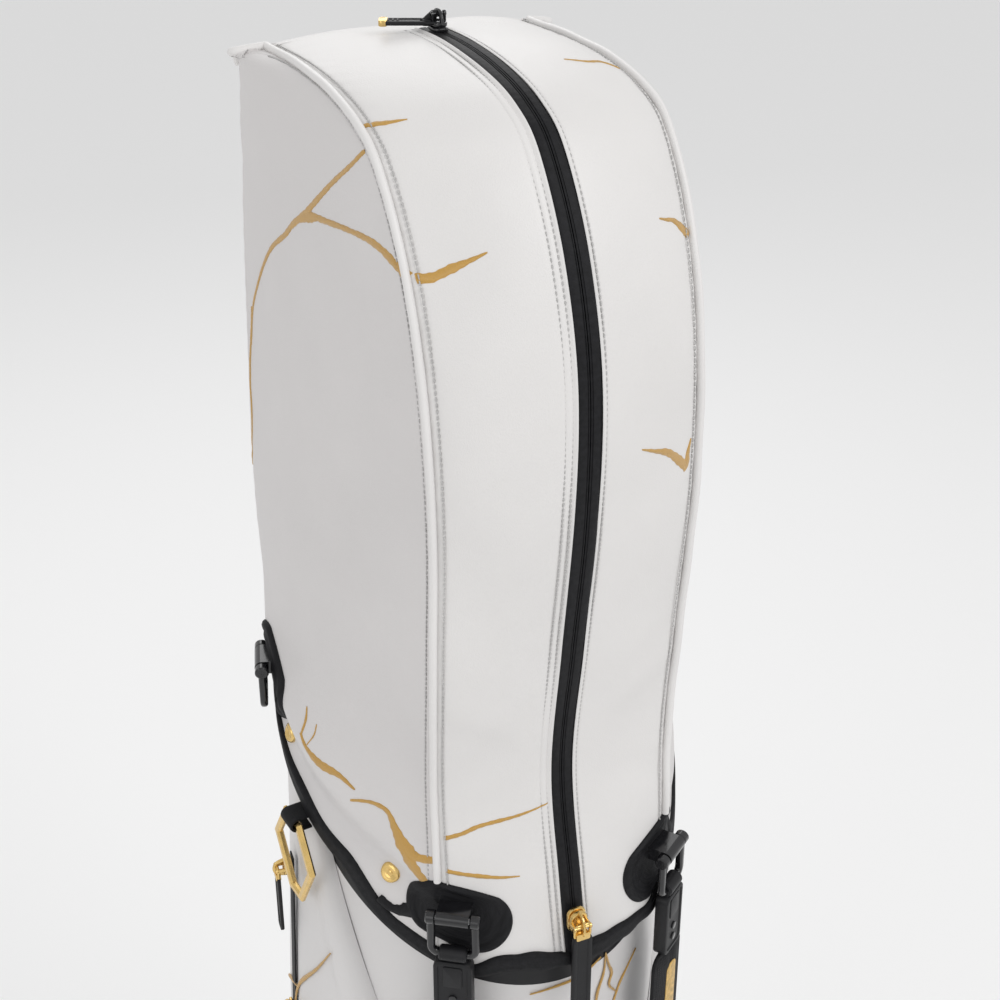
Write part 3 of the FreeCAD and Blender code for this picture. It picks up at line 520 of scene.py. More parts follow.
# ---------------------------------------------------------------- the hood's surface
class Section:
    """One plane section of the hood."""

    def __init__(self, s):
        values = self.values(s)
        front_out, front_rise, back_out, back_rise, depth, seam, side, corner, corner_depth = values
        self.front = np.array([0, -(HALF_Y + front_out), HEM_HEIGHT + front_rise])
        self.back = np.array([0, HALF_Y + back_out, HEM_HEIGHT + back_rise])
        self.length = np.linalg.norm(self.back - self.front)
        self.along = (self.back - self.front) / self.length
        self.depth, self.seam = depth, HALF_X + seam
        self.corner_depth, self.corner = corner_depth, HALF_X + corner
        self.middle = HALF_X + side

    @staticmethod
    def values(s):
        i = int(min(max(s, 0), LAST - 1e-6))
        f = s - i
        a, b, c, d = (STATIONS[min(max(i + k, 0), LAST)] for k in (-1, 0, 1, 2))
        if i == 0:
            a = 2 * b - c
        if i == LAST - 1:
            d = 2 * c - b
        return 0.5 * (2 * b + (c - a) * f + (2 * a - 5 * b + 4 * c - d) * f ** 2
                      + (3 * b - a - 3 * c + d) * f ** 3)

    def at(self, depth, x):
        x = np.asarray(x, float)
        points = self.front + np.asarray(depth, float)[..., None] * self.along
        points[..., 0] += x
        return points

    def strip(self, x):
        """Front strip, at signed distances from the middle plane."""
        radius = (self.seam ** 2 + self.depth ** 2) / (2 * self.depth)
        x = np.asarray(x, float)
        return self.at(radius - np.sqrt(np.maximum(radius ** 2 - x ** 2, 0)), x)

    def rear(self, x):
        radius = (self.corner ** 2 + self.corner_depth ** 2) / (2 * self.corner_depth)
        x = np.asarray(x, float)
        return self.at(self.length - (radius - np.sqrt(np.maximum(radius ** 2 - x ** 2, 0))), x)

    def side(self, share, sign):
        """Side panel, at shares of the way from the piped seam to the back corner."""
        u0, u1, u2 = self.depth, self.length / 2, self.length - self.corner_depth
        x0, x1, x2 = self.seam, self.middle, self.corner
        u = u0 + np.asarray(share, float) * (u2 - u0)
        x = (x0 * (u - u1) * (u - u2) / ((u0 - u1) * (u0 - u2))
             + x1 * (u - u0) * (u - u2) / ((u1 - u0) * (u1 - u2))
             + x2 * (u - u0) * (u - u1) / ((u2 - u0) * (u2 - u1)))
        return self.at(u, sign * x)


def hem_dip(points):
    """The skirt's hem hangs lower beside the front ports."""
    angle = np.degrees(np.arctan2(np.abs(points[..., 0]), -points[..., 1]))
    amount = smooth(16, 30, angle) * (1 - smooth(48, 66, angle))
    amount = amount * np.where(points[..., 0] < 0, 17.0, 11.0)
    height = points[..., 2] - hem_z(points[..., 1])
    moved = points.copy()
    moved[..., 2] -= amount * (1 - smooth(0, 85, height)) + crown_slump(points)
    return moved


def crown_slump(points):
    """The crown's unsupported back corners sink a little, the right one more."""
    x, y, z = points[..., 0], points[..., 1], points[..., 2]
    reach = smooth(30, 125, np.abs(x)) * smooth(-70, 70, y) * smooth(1150, 1230, z)
    return reach * np.where(x < 0, 3.5, 9.0)


def ripple(points):
    """Slow unevenness of the stretched cloth, in millimetres."""
    x, y, z = points[..., 0], points[..., 1], points[..., 2]
    return (0.55 * np.sin(z / 31 + 0.6 * np.sin(x / 40) + y / 70)
            + 0.35 * np.sin((x + y) / 23 - z / 47 + 1.3)
            + 0.25 * np.sin((x - y) / 17 + z / 26 + 0.4))


def seam_relief(distance, along):
    """Cloth pulled in to a seam, with small puckers and the groove of the topstitch."""
    pucker = 0.16 * np.sin(along / 2.6 + np.sin(along / 19)) * ridge(distance, 9.0)
    return (-0.9 * ridge(distance, 2.4) + 0.7 * (1 - ridge(distance, 14.0))
            - 0.45 * ridge(distance - 5.2, 0.7) + pucker)


def side_folds(points):
    """The long slanted fold low on each side panel, and the slack above the hem."""
    y, z = points[..., 1], points[..., 2]
    line = 868 + (y - 50) * (868 - 792) / 155.0
    over = z - line
    window = smooth(-125, -80, y) * (1 - smooth(45, 105, y))
    step = 3.4 * ridge(over - 9, 13.0) - 5.0 * ridge(over + 13, 12.0)
    slack = 1.3 * np.sin((z - 0.5 * y) / 21.0) * ridge(z - 800 - 0.5 * y, 60.0)
    upper = 1.6 * ridge((z - 1085 + 0.9 * (y + 60)) / 10.0, 1.6) * ridge(y + 70, 42.0)
    return window * step + slack + upper


def front_folds(points):
    """Drag lines from the waist towards the piping, and a soft buckle over the hem."""
    x, z = np.abs(points[..., 0]), points[..., 2]
    drag = 1.5 * ridge((z - 905 - 0.55 * (x - 40)) / 9.0, 1.3) * smooth(18, 45, x)
    buckle = -1.7 * ridge((z - 845 + 0.35 * (x - 40)) / 12.0, 1.1) * smooth(14, 40, x)
    high = 0.9 * np.sin(z / 26.0 + x / 30.0) * ridge(z - 1120, 60.0) * smooth(20, 60, x)
    return drag + buckle + high


HOOD_CENTRE = np.array([0.0, 0.0, 1000.0])
PANEL_THICK = 1.8
FRONT_REACH = 260.0            # a line from outside meets the near side within this
SEAM_STEPS = (0.0, 1.3, 2.2, 3.2, 4.0, 4.6, 5.2, 5.8, 6.6, 8.0, 10.0, 13.0)
ZIP_STEPS = (0.0, 0.5, 1.1, 1.8, 2.4, 2.8, 3.2, 4.0, 5.4, 6.3, 6.8, 7.3, 8.6, 11.0)


def row_lengths(grid):
    """Distance travelled up each column of a grid."""
    steps = np.linalg.norm(np.diff(grid, axis=0), axis=2)
    return np.vstack([np.zeros(grid.shape[1]), np.cumsum(steps, axis=0)])


def front_grid(sign, rows=170):
    """One front panel: from the zip's edge out to the piped seam."""
    grid, edge, seam = [], [], []
    for s in np.linspace(0, CROWN_SEAM, rows):
        part = Section(s)
        inner = ZIP_HALF + np.array(ZIP_STEPS)
        outer = part.seam - np.array(SEAM_STEPS)[::-1]
        middle = np.linspace(inner[-1], outer[0], 14)[1:-1]
        x = np.r_[inner, middle, outer]
        grid.append(part.strip(sign * x))
        edge.append(x - ZIP_HALF)
        seam.append(part.seam - x)
    grid, edge, seam = hem_dip(np.array(grid)), np.array(edge), np.array(seam)
    along = row_lengths(grid)
    lift = seam_relief(seam, along) + ripple(grid) * (1 - ridge(seam, 8.0))
    lift += front_folds(grid) * (1 - ridge(edge, 9.0)) * (1 - ridge(seam, 9.0))
    lift += 0.9 * ridge(edge - 0.9, 0.9) - 0.5 * ridge(edge - 2.8, 0.5)
    if sign < 0:
        lift -= 0.5 * ridge(edge - 6.8, 0.5)
    return grid + grid_normals(grid, HOOD_CENTRE) * lift[..., None]


def side_grid(sign, rows=170):
    """One side panel: from the piped seam back to the rear corner."""
    grid, front, back = [], [], []
    for s in np.linspace(0, LAST, rows):
        part = Section(s)
        reach = part.length - part.corner_depth - part.depth
        near = np.array(SEAM_STEPS) * 1.1
        middle = np.linspace(near[-1], reach - near[-1], 44)[1:-1]
        u = np.r_[near, middle, reach - near[::-1]]
        grid.append(part.side(u / reach, sign))
        front.append(u)
        back.append(reach - u)
    grid, front, back = hem_dip(np.array(grid)), np.array(front), np.array(back)
    along = row_lengths(grid)
    lift = seam_relief(front, along) + 0.7 * seam_relief(back, along)
    lift += (ripple(grid) + side_folds(grid)) * (1 - ridge(front, 9.0)) * (1 - ridge(back, 9.0))
    return grid + grid_normals(grid, HOOD_CENTRE) * lift[..., None]


def back_grid(rows=150, cols=70):
    """Back panel: the crown behind the zip, the top edge, and down to the hem."""
    shares = np.sin(np.linspace(-1, 1, cols) * math.pi / 2)
    grid = []
    for s in np.linspace(CROWN_SEAM, LAST, 8)[:-1]:
        part = Section(s)
        grid.append(part.strip(shares * (part.seam - 0.5)))
    top = Section(LAST)
    for v in np.linspace(0, 1, 22):
        straight = (1 - v) * top.strip(shares * (top.seam - 0.5))
        straight += v * top.rear(shares * (top.corner - 0.5))
        edge = top.side(v, 1)[0] - ((1 - v) * top.seam + v * top.corner)
        straight[:, 0] += edge * shares ** 3
        crown = 3.2 * math.sin(math.pi * v) * (1 - shares ** 2)
        straight[:, 2] += crown
        grid.append(straight)
    for s in np.linspace(LAST, 0, rows)[1:]:
        part = Section(s)
        grid.append(part.rear(shares * (part.corner - 0.5)))
    grid = hem_dip(np.array(grid))
    half = np.max(np.abs(grid[..., 0]), axis=1, keepdims=True)
    seam = half - np.abs(grid[..., 0])
    along = row_lengths(grid)
    middle = ridge(grid[..., 0], 2.0)
    lift = seam_relief(seam, along) + ripple(grid) * (1 - ridge(seam, 9.0)) - 0.5 * middle
    normals = grid_normals(grid, HOOD_CENTRE)
    return grid + normals * lift[..., None]


HOOD_SKIN = []


def panel(name, grid, finish, replaced):
    normals = grid_normals(grid, HOOD_CENTRE)
    shell = grid_shell(grid, grid - normals * PANEL_THICK)
    rows, cols = grid.shape[:2]
    quads = [(r * cols + c, r * cols + c + 1, (r + 1) * cols + c + 1, (r + 1) * cols + c)
             for r in range(rows - 1) for c in range(cols - 1)]
    HOOD_SKIN.append((grid.reshape(-1, 3), quads))
    slot = "pu_leather_side" if finish is SIDE_PAINTED_SHADE else "pu_leather"
    return Piece().add(shell).make(name, "bag", slot, finish, replaced)


def hood_panels():
    for side, sign in (("left", -1), ("right", 1)):
        panel("front_panel_" + side, front_grid(sign), WHITE, ("hood_front_" + side,))
        panel("side_panel_" + side, side_grid(sign), SIDE_PAINTED_SHADE, ("hood_side_" + side,))
    panel("back_panel", back_grid(), WHITE, ("hood_back",))


def skin_tree():
    verts, faces, start = [], [], 0
    for points, quads in HOOD_SKIN:
        verts += points.tolist()
        faces += [tuple(start + i for i in quad) for quad in quads]
        start += len(points)
    return BVHTree.FromPolygons(verts, faces)


def drape(start, way):
    """Where a straight line from outside meets the hood, and the normal there.

    A line that slips through a seam or under the hem takes the cloth just above it."""
    for rise in (0.0, 0.8, -0.8, 2.0, 4.0, 7.0, 10.0, 14.0, 19.0, 25.0):
        hit, normal, _, reach = SKIN.ray_cast(Vector(start) + Vector((0, 0, rise)), Vector(way))
        if hit is not None and reach < FRONT_REACH:
            normal = np.array(normal)
            if np.dot(normal, way) > 0:
                normal = -normal
            return np.array(hit) - UP * rise, normal
    raise ValueError("nothing of the hood lies beyond " + str(start))


hood_panels()
SKIN = skin_tree()


# ---------------------------------------------------------------- zip, piping, binding
# One tape, from the groove outwards: distance from the middle, height over the cloth.
TAPE_PROFILE = np.array([
    (0.15, 0.6), (0.35, 1.2), (0.9, 1.35), (1.15, 0.9), (1.5, 0.9), (1.75, 1.3), (2.6, 1.4), (5.0, 1.3),
    (6.2, 1.1), (7.0, 0.6), (7.7, 0.1)])
TOOTH_PITCH = 5.0


def zip_tapes():
    """Waterproof zip: two coated tapes that meet at a fine groove."""
    across, height = TAPE_PROFILE.T
    for side, sign in (("left", -1), ("right", 1)):
        grid = np.array([Section(s).strip(sign * across) for s in np.linspace(0, CROWN_SEAM, 300)])
        normals = grid_normals(grid, HOOD_CENTRE)
        along = row_lengths(grid)
        teeth = 0.10 * np.sin(along * 2 * math.pi / TOOTH_PITCH) * ridge(across - 3.9, 1.6)
        outer = grid + normals * (height + teeth)[..., None]
        shell = grid_shell(outer, grid - normals * 1.2)
        uv = np.stack([np.broadcast_to(across, along.shape), along], axis=-1).reshape(-1, 2)
        shell = (*shell, np.vstack([uv, uv]))
        Piece().add(shell).make("zip_tape_" + side, "bag", "zip_tape", ZIP, ("hood_zip_tape_" + side,))


def clear_of_port(path):
    """True for the points of a path that stay clear of the front ports' patches."""
    foot, normal = site(PORT_ANGLE_FRONT)
    z = JOINTS["ring_front_left_swing"]["pos_m"][2] / MM - PATCH_DROP
    centre = np.array([foot[0], foot[1], z])
    tangent = unit(np.cross(normal, UP) + UP * HEM_SLOPE * np.cross(normal, UP)[1])
    away = np.abs(path * [1, 0, 0]) + path * [0, 1, 1] - centre
    x = away @ tangent
    up = away @ np.cross(tangent, normal)
    width, height = PATCH_SIZE
    return (2 * x / (width - 2)) ** 4 + (2 * up / (height - 3)) ** 4 > 1


def seam_path(sign, count=260, inset=0.0):
    path = [Section(s).strip(sign * (Section(s).seam - inset)) for s in np.linspace(0.14, LAST, count)]
    return hem_dip(np.array(path))


def outward(path, centre=HOOD_CENTRE):
    """Outward directions along a path on the hood."""
    way = path - centre
    way[:, 2] *= 0.45 + 0.9 * smooth(1120, 1240, path[:, 2])
    return units(way)


PIPING_HALF = (2.5, 2.3)        # half its height over the seam, and half its width


def pipings():
    """Leather piping over the two long seams, folded under at the back of the crown."""
    for side, sign in (("left", -1), ("right", 1)):
        path = seam_path(sign)
        covered = np.flatnonzero(~clear_of_port(path))
        path = path[covered[-1] + 1:] if len(covered) else path
        edge = hem_dip(Section(LAST).side(np.linspace(0.1, 1, 12), sign))
        tail = edge[-1] + np.array([[sign * 0.5, 4.0, -3.0], [sign * 0.5, 5.0, -9.0]])
        path = evenly(np.vstack([path, edge, tail]), 340)
        normals = outward(path)
        wobble = 0.22 * np.sin(np.linspace(0, 74, len(path)))      # sewn cord is never quite even
        path = path + normals * (1.0 + wobble)[:, None]
        scale = np.ones(len(path))
        scale[-4:] = (0.98, 0.9, 0.7, 0.35)
        cord = sweep(path, round_section(*PIPING_HALF, count=14), normals, scale=scale)
        Piece().add(cord).make("piping_" + side, "bag", "pu_leather", PIPING, ("hood_piping_" + side,))


def hem_ring(s, count=(60, 70, 60)):
    """Points round the hood at one station, from the middle of the front and round by the right."""
    part = Section(s)
    front, side, rear = count
    right = part.strip(np.linspace(0, part.seam, front, endpoint=False))
    flank = part.side(np.linspace(0, 1, side, endpoint=False), 1)
    back = part.rear(np.linspace(part.corner, -part.corner, rear, endpoint=False))
    left_flank = part.side(np.linspace(1, 0, side, endpoint=False), -1)
    left = part.strip(np.linspace(-part.seam, 0, front, endpoint=False))
    return hem_dip(np.vstack([right, flank, back, left_flank, left]))


# The folded binding's section: out from the cloth, up from its middle.
BINDING_FOLD = ((2.3, 4.4), (2.6, 2.0), (2.2, -1.5), (2.5, -4.0), (1.4, -5.4), (-1.0, -5.4), (-2.4, -4.2),
                (-2.5, 3.0), (-1.2, 4.9), (1.4, 5.0))


def hem_binding():
    """Black binding folded over the skirt's edge, open where the zip runs through it."""
    low, high = hem_ring(0.0), hem_ring(0.17)
    rise = units(high - low)
    keep = np.abs(low[:, 0]) + 1000 * (low[:, 1] > 0) > ZIP_HALF - 1
    path = (low + rise * 4.6)[keep]
    rise = rise[keep]
    step = np.arange(len(path))
    wave = 1.1 * np.sin(step / 6.5) + 0.4 * np.sin(step / 2.3)
    swell = 1.06 + 0.14 * np.sin(step / 9.0 + 0.8) + 0.05 * np.sin(step / 3.1)
    flat = np.stack([path[:, 0], path[:, 1], np.zeros(len(path))], axis=1)
    normals = units(flat)
    path = path + normals * 0.2 + rise * wave[:, None]
    piece = Piece().add(sweep(path, BINDING_FOLD, normals, scale=swell))
    piece.make("hem_binding", "bag", "webbing", BINDING, ("hood_hem_band",), sharp=60)


# One stitch: shares of its length, and heights over the cloth.
STITCH = ((0.1, -0.35), (0.28, 0.2), (0.5, 0.32), (0.72, 0.2), (0.9, -0.35))


def stitch_row(piece, path, normals, pitch=3.3, thick=0.42):
    """Separate stitches pulled into the cloth along a path."""
    count = max(2, int(travelled(path)[-1] / pitch))
    points = evenly(path, count + 1)
    lifts = evenly(np.hstack([path, normals]), count + 1)[:, 3:]
    shown = clear_of_port((points[:-1] + points[1:]) / 2)
    for a, b, n in zip(points[:-1][shown], points[1:][shown], lifts[:-1][shown]):
        n = unit(n)
        step = b - a
        line = [a + step * share + n * height for share, height in STITCH]
        piece.add(sweep(line, round_section(thick, count=6), n, scale=(0.6, 1, 1.05, 1, 0.6)))


def hood_stitching():
    piece = Piece()
    ways = np.linspace(0.2, CROWN_SEAM - 0.1, 200)
    for x in (-(ZIP_HALF + 6.8), -(ZIP_HALF + 2.8), ZIP_HALF + 2.8):
        path = np.array([Section(s).strip(x) for s in ways])
        stitch_row(piece, path + outward(path) * 0.35, outward(path))
    for sign in (-1, 1):
        path = seam_path(sign, 200, 5.2)[4:]
        stitch_row(piece, path + outward(path) * 0.55, outward(path))
        flank = []
        for s in np.linspace(0.2, LAST - 0.4, 200):
            part = Section(s)
            reach = part.length - part.corner_depth - part.depth
            flank.append(part.side(5.7 / reach, sign))
        flank = hem_dip(np.array(flank))
        stitch_row(piece, flank + outward(flank) * 0.5, outward(flank))
    piece.make("hood_topstitch", "bag", "pu_leather", WHITE_THREAD)


zip_tapes()
pipings()
hem_binding()
hood_stitching()


# ---------------------------------------------------------------- pieces draped on the hood
def draped_oval(piece, angle, z, size, profile, turns=72):
    """Oval laid on the skirt: profile is (share of the radius, lift) from the middle out."""
    foot, normal = site(angle)
    tangent = np.cross(normal, UP)
    along_hem = unit(tangent + UP * HEM_SLOPE * tangent[1])
    place = Place([foot[0], foot[1], z], normal, np.cross(along_hem, normal))
    width, height = size
    radius = height / 2
    rows = []
    for share, lift in profile:
        row = []
        for k in range(turns):
            turn = 2 * math.pi * k / turns
            c, s = math.cos(turn), math.sin(turn)
            x = (width / 2 - radius) * np.sign(c) * min(1, abs(c) * 3) + radius * c
            start = place.to_world([[share * x, 90, share * radius * s]])[0]
            hit, face = drape(start, -place.axes[1])
            row.append(hit + face * lift)
        rows.append(row)
    uv = np.array([[share * k, share * 10.0] for share, _ in profile for k in range(turns)])
    piece.add((np.array(rows).reshape(-1, 3), ring_faces(len(rows), turns), uv))


def port_centres():
    """Angle and height of each strap ring's port, from the ring's own pin."""
    ports = []
    for name in ("front_left", "front_right", "rear_left", "rear_right"):
        z = JOINTS["ring_" + name + "_swing"]["pos_m"][2] / MM - PATCH_DROP
        angle = PORT_ANGLE_FRONT if name.startswith("front") else PORT_ANGLE_REAR
        ports.append((-angle if name.endswith("left") else angle, z))
    return ports


def port_patches():
    """Patches round the strap ports: a rolled binding edge round a sunk field."""
    piece = Piece()
    profile = ((0.02, 1.3), (0.50, 1.3), (0.60, 1.3), (0.66, 1.7), (0.72, 1.9), (0.80, 1.5), (0.84, 2.1),
               (0.92, 2.6), (0.99, 1.9), (1.03, 0.4), (1.0, -1.0), (0.5, -1.2))
    for angle, z in port_centres():
        draped_oval(piece, angle, z, PATCH_SIZE, profile)
    piece.make("port_binding", "bag", "webbing", BINDING, ("port_patches",), sharp=60)


SNAP_ANGLES = (50.0, 97.0)
SNAP_RISE = 19.0                # above the hem
SNAP_WIDTH = 13.0


def snap_caps():
    """Gold snap caps with plain concentric relief."""
    piece = Piece()
    profile = ((0.02, 2.1), (0.18, 2.0), (0.30, 1.7), (0.38, 1.9), (0.55, 2.2), (0.66, 2.0), (0.74, 2.2),
               (0.86, 2.0), (0.96, 1.4), (1.0, 0.7), (1.0, -0.4), (0.5, -1.0))
    for angle in SNAP_ANGLES:
        height = hem_z(site(angle)[0][1]) + SNAP_RISE
        for sign in (-1, 1):
            draped_oval(piece, sign * angle, height, (SNAP_WIDTH, SNAP_WIDTH), profile, turns=40)
    piece.make("snap_buttons", "bag", "gold_metal", GOLD, ("snap_caps",))


port_patches()
snap_caps()


# ---------------------------------------------------------------- embroidery
LEFT_SIDE, RIGHT_SIDE, FRONT, TOP = range(4)
# Each line: the face it lies on, its points (y, z on a side, x, z on the front, x, y on the
# top) and its width in millimetres at its two ends and its middle.
CRACKS = (
    (LEFT_SIDE, ((-52, 1230), (-42, 1220), (-20, 1203), (10, 1178)), (2.4, 3.0, 4.0)),
    (LEFT_SIDE, ((10, 1178), (28, 1166), (40, 1156), (63, 1139), (87, 1109), (102, 1087), (108, 1062)),
     (4.2, 2.6, 1.6)),
    (LEFT_SIDE, ((8, 1179), (-15, 1182), (-37, 1185), (-59, 1187), (-74, 1186), (-90, 1181), (-96, 1178)),
     (4.0, 3.0, 5.5)),
    (LEFT_SIDE, ((18, 1172), (8, 1177), (-6, 1181)), (3.0, 7.0, 3.4)),
    (LEFT_SIDE, ((104, 1088), (112, 1040), (109, 1010), (116, 975)), (1.6, 2.4, 1.0)),
    (LEFT_SIDE, ((-6, 869), (-9, 861), (-10, 852)), (0.9, 1.9, 1.6)),
    (LEFT_SIDE, ((-18, 863), (-19, 856), (-17, 849)), (0.8, 1.0, 0.8)),
    (LEFT_SIDE, ((-9, 853), (-17, 847), (-30, 843), (-45, 842), (-57, 838)), (1.6, 5.2, 1.2)),
    (LEFT_SIDE, ((-57, 831), (-62, 833), (-70, 835), (-79, 834), (-85, 826), (-92, 814)), (1.4, 3.4, 5.0)),
    (LEFT_SIDE, ((-84, 829), (-90, 820), (-97, 812), (-103, 811), (-108, 812)), (2.0, 7.5, 5.0)),
    (LEFT_SIDE, ((-88, 822), (-94, 812), (-100, 800), (-106, 789), (-109, 784)), (3.0, 6.5, 4.0)),
    (FRONT, ((-77, 1178), (-70, 1179), (-60, 1184), (-44, 1191)), (4.6, 3.8, 0.7)),
    (TOP, ((-80, -40), (-71, -48), (-61, -53)), (2.0, 2.8, 0.7)),
    (FRONT, ((-72, 828), (-62, 830), (-51, 834), (-30, 837), (-10, 841)), (2.8, 2.4, 0.8)),
    (FRONT, ((-72, 805), (-64, 803), (-54, 801), (-43, 799), (-31, 798)), (2.6, 2.8, 0.8)),
    (TOP, ((42, -22), (55, -23), (66, -19), (76, -21)), (0.7, 2.0, 1.4)),
    (FRONT, ((56, 1191), (61, 1189), (68, 1186), (78, 1176)), (0.7, 2.6, 4.6)),
    (FRONT, ((33, 1077), (42, 1073), (54, 1067), (69, 1052)), (0.7, 4.2, 5.5)),
    (FRONT, ((69, 1054), (70, 1062), (72, 1068)), (5.0, 3.4, 1.0)),
    (RIGHT_SIDE, ((-78, 1150), (-66, 1138), (-40, 1128), (-8, 1122), (22, 1098)), (5.5, 3.6, 1.4)),
    (RIGHT_SIDE, ((-86, 1046), (-60, 1040), (-28, 1052), (6, 1044), (44, 1020)), (5.0, 3.4, 1.0)),
    (RIGHT_SIDE, ((-44, 1128), (-36, 1100), (-20, 1078)), (3.0, 2.2, 0.8)),
)


def crack_start(face, a, b):
    """Starting point outside the hood, and the way to look, for a point of a line."""
    starts = (
        ((-240, a, b), (1, 0, 0)),
        ((240, a, b), (-1, 0, 0)),
        ((a, -260, b), (0, 1, 0)),
        ((a, b, 1400), (0, 0, -1)),
    )
    return tuple(np.array(v, float) for v in starts[face])


def band_rows(points, widths):
    """Middle line, sideways directions and uneven width of a tapering band."""
    flat = np.array(points, float)
    count = max(8, int(travelled(flat)[-1] / 1.6))
    line = curve_through(flat, count)
    share = np.linspace(0, 1, count)
    width = np.interp(share, (0, 0.5, 1), widths)
    width = width * (1 + 0.10 * np.sin(share * count * 1.9) + 0.06 * np.sin(share * count * 0.7))
    way = units(np.gradient(line, axis=0))
    return line, np.stack([-way[:, 1], way[:, 0]], axis=1), width


def domed_band(piece, points, widths, surface, base=0.15, dome=0.62):
    """Band over a surface, given as a function from two coordinates to a point and its normal."""
    line, side, width = band_rows(points, widths)
    across = np.linspace(-1, 1, 7)
    top, under = [], []
    for point, aside, wide in zip(line, side, width):
        row_top, row_under = [], []
        for c in across:
            hit, normal = surface(*(point + aside * c * wide / 2))
            row_top.append(hit + normal * (base + dome * (1 - c * c) * min(1.0, wide / 2)))
            row_under.append(hit - normal * 0.3)
        top.append(row_top)
        under.append(row_under)
    shell = grid_shell(np.array(top), np.array(under))
    along = travelled(line)
    uv = np.stack(np.broadcast_arrays(across[None, :] * width[:, None], along[:, None] + 0.35 * across),
                  axis=-1).reshape(-1, 2)
    piece.add((*shell, np.vstack([uv, uv])))


def embroidery():
    """Cracks in gold satin stitch: domed bands of thread that taper to their ends."""
    piece = Piece()
    for face, points, widths in CRACKS:
        domed_band(piece, points, widths, lambda a, b: drape(*crack_start(face, a, b)))
    piece.make("crack_embroidery", "bag", "gold_metal", THREAD, sharp=60)


TAIL = ((-77, 768), (-84, 764), (-91, 765), (-98, 770))   # y, z on either side


def binding_tails():
    """Binding that leaves the hem and runs up into each front port's patch."""
    piece = Piece()
    for face in (LEFT_SIDE, RIGHT_SIDE):
        domed_band(piece, TAIL, (6.0, 7.0, 10.0), lambda a, b: drape(*crack_start(face, a, b)), 0.7, 1.6)
    piece.make("binding_tails", "bag", "webbing", BINDING, sharp=60)


binding_tails()
embroidery()


# ---------------------------------------------------------------- sliders and pulls
SLIDER_SEAT = 0.6               # height of a slider's lower plate off the tape
SLIDER_BRIDGE = 4.0             # height of the pull's bar over the slider's body
HOOD_SLIDER = (12.0, 6.0, 17.0)
SMALL_SLIDER = (9.0, 5.0, 13.0)


def slider_shell(piece, place, size):
    """Zip slider: waisted body in two plates, with an arched bridge over the pull's bar."""
    across, out, along = size
    seat = SLIDER_SEAT
    lower = plate_layers(seat, seat + 0.42 * out, 0.5)
    upper = plate_layers(seat + 0.5 * out, seat + out, 0.7, (across * 0.2, 0.5))
    piece.add(layered(across, along, across * 0.38, lower), place)
    piece.add(layered(across * 0.92, along * 0.94, across * 0.42, upper), place)
    neck = plate_layers(seat + 0.3 * out, seat + 0.7 * out, 0.3)
    piece.add(layered(across * 0.4, along * 0.8, 1.0, neck), place)
    top = seat + out + SLIDER_BRIDGE
    spring = seat + 0.8 * out
    arch = [(0, spring, 0.42 * along), (0, top - 0.6, 0.30 * along), (0, top + 1.0, 0.12 * along),
            (0, top + 1.2, -0.1 * along), (0, top - 0.4, -0.3 * along), (0, spring, -0.42 * along)]
    line = curve_through(arch, 26)
    piece.add(sweep(line, round_section(0.9, 0.2 * across, 3.0, 14), unit([1, 0, 0.001])), place)
    for side in (-1, 1):
        x = side * (across / 2 - 0.8)
        lug = [(x, seat + 0.6 * out, 0), (x, top, 0)]
        piece.add(sweep(lug, round_section(0.8, 1.6, 3.0, 12), [1, 0, 0]), place)
        piece.add(rod((x - 0.8, top, 0), (x + 0.8, top, 0), 1.7), place)
    piece.add(rod((-across / 2, top, 0), (across / 2, top, 0), 1.0), place)


def slider_height(size):
    """Height of the pull's bar over the tape."""
    return SLIDER_SEAT + size[1] + SLIDER_BRIDGE


def pull_shell(piece, place, size, eye_half, kinds=(0, 1)):
    """Rubber pull on a gold link, with a sunk field on its face."""
    width, length, thick = size
    top = -5.6
    link = outline(2 * eye_half + 2.4, 9.4, 2.2, 5)
    loop = [(x, 0, z - 3.0) for x, z in link]
    piece.add(sweep(loop, round_section(0.9, count=10), [0, 1, 0], closed=True), place, kinds[0])
    layers = plate_layers(-thick / 2, thick / 2, 0.6, (width * 0.2, 0.45))
    piece.add(layered(width, length, width / 3, layers, 0, top - length / 2), place, kinds[1])
    collar = plate_layers(-thick / 2 - 0.5, thick / 2 + 0.5, 0.4)
    piece.add(layered(width * 0.72, 5.0, 1.2, collar, 0, top - 0.6), place, kinds[0])
    for k in range(3):
        rib = plate_layers(thick / 2 - 0.3, thick / 2 + 0.25, 0.2)
        z = top - length + 4.0 + 2.6 * k
        piece.add(layered(width * 0.5, 1.0, 0.4, rib, 0, z), place, kinds[1])


def pocket_sliders():
    for name in ("left_upper", "left_lower", "right", "ball", "accessory"):
        hinge = joint_place("pull_" + name + "_swing")
        body = Piece()
        slider_shell(body, hinge.moved(y=-slider_height(SMALL_SLIDER)), SMALL_SLIDER)
        body.make("zip_slider_" + name, "slider_" + name, "gold_metal", GOLD, ("slider_" + name,))
        tab = Piece()
        pull_shell(tab, hinge, (10.0, 46.0, 2.4), 2.4)
        tab.make("zip_pull_" + name, "pull_" + name, "pull_rubber", [GOLD, RUBBER], ("pull_" + name,))


CROWN_PULL_DROP = 4.6            # the crown pull lies this far below its hinge


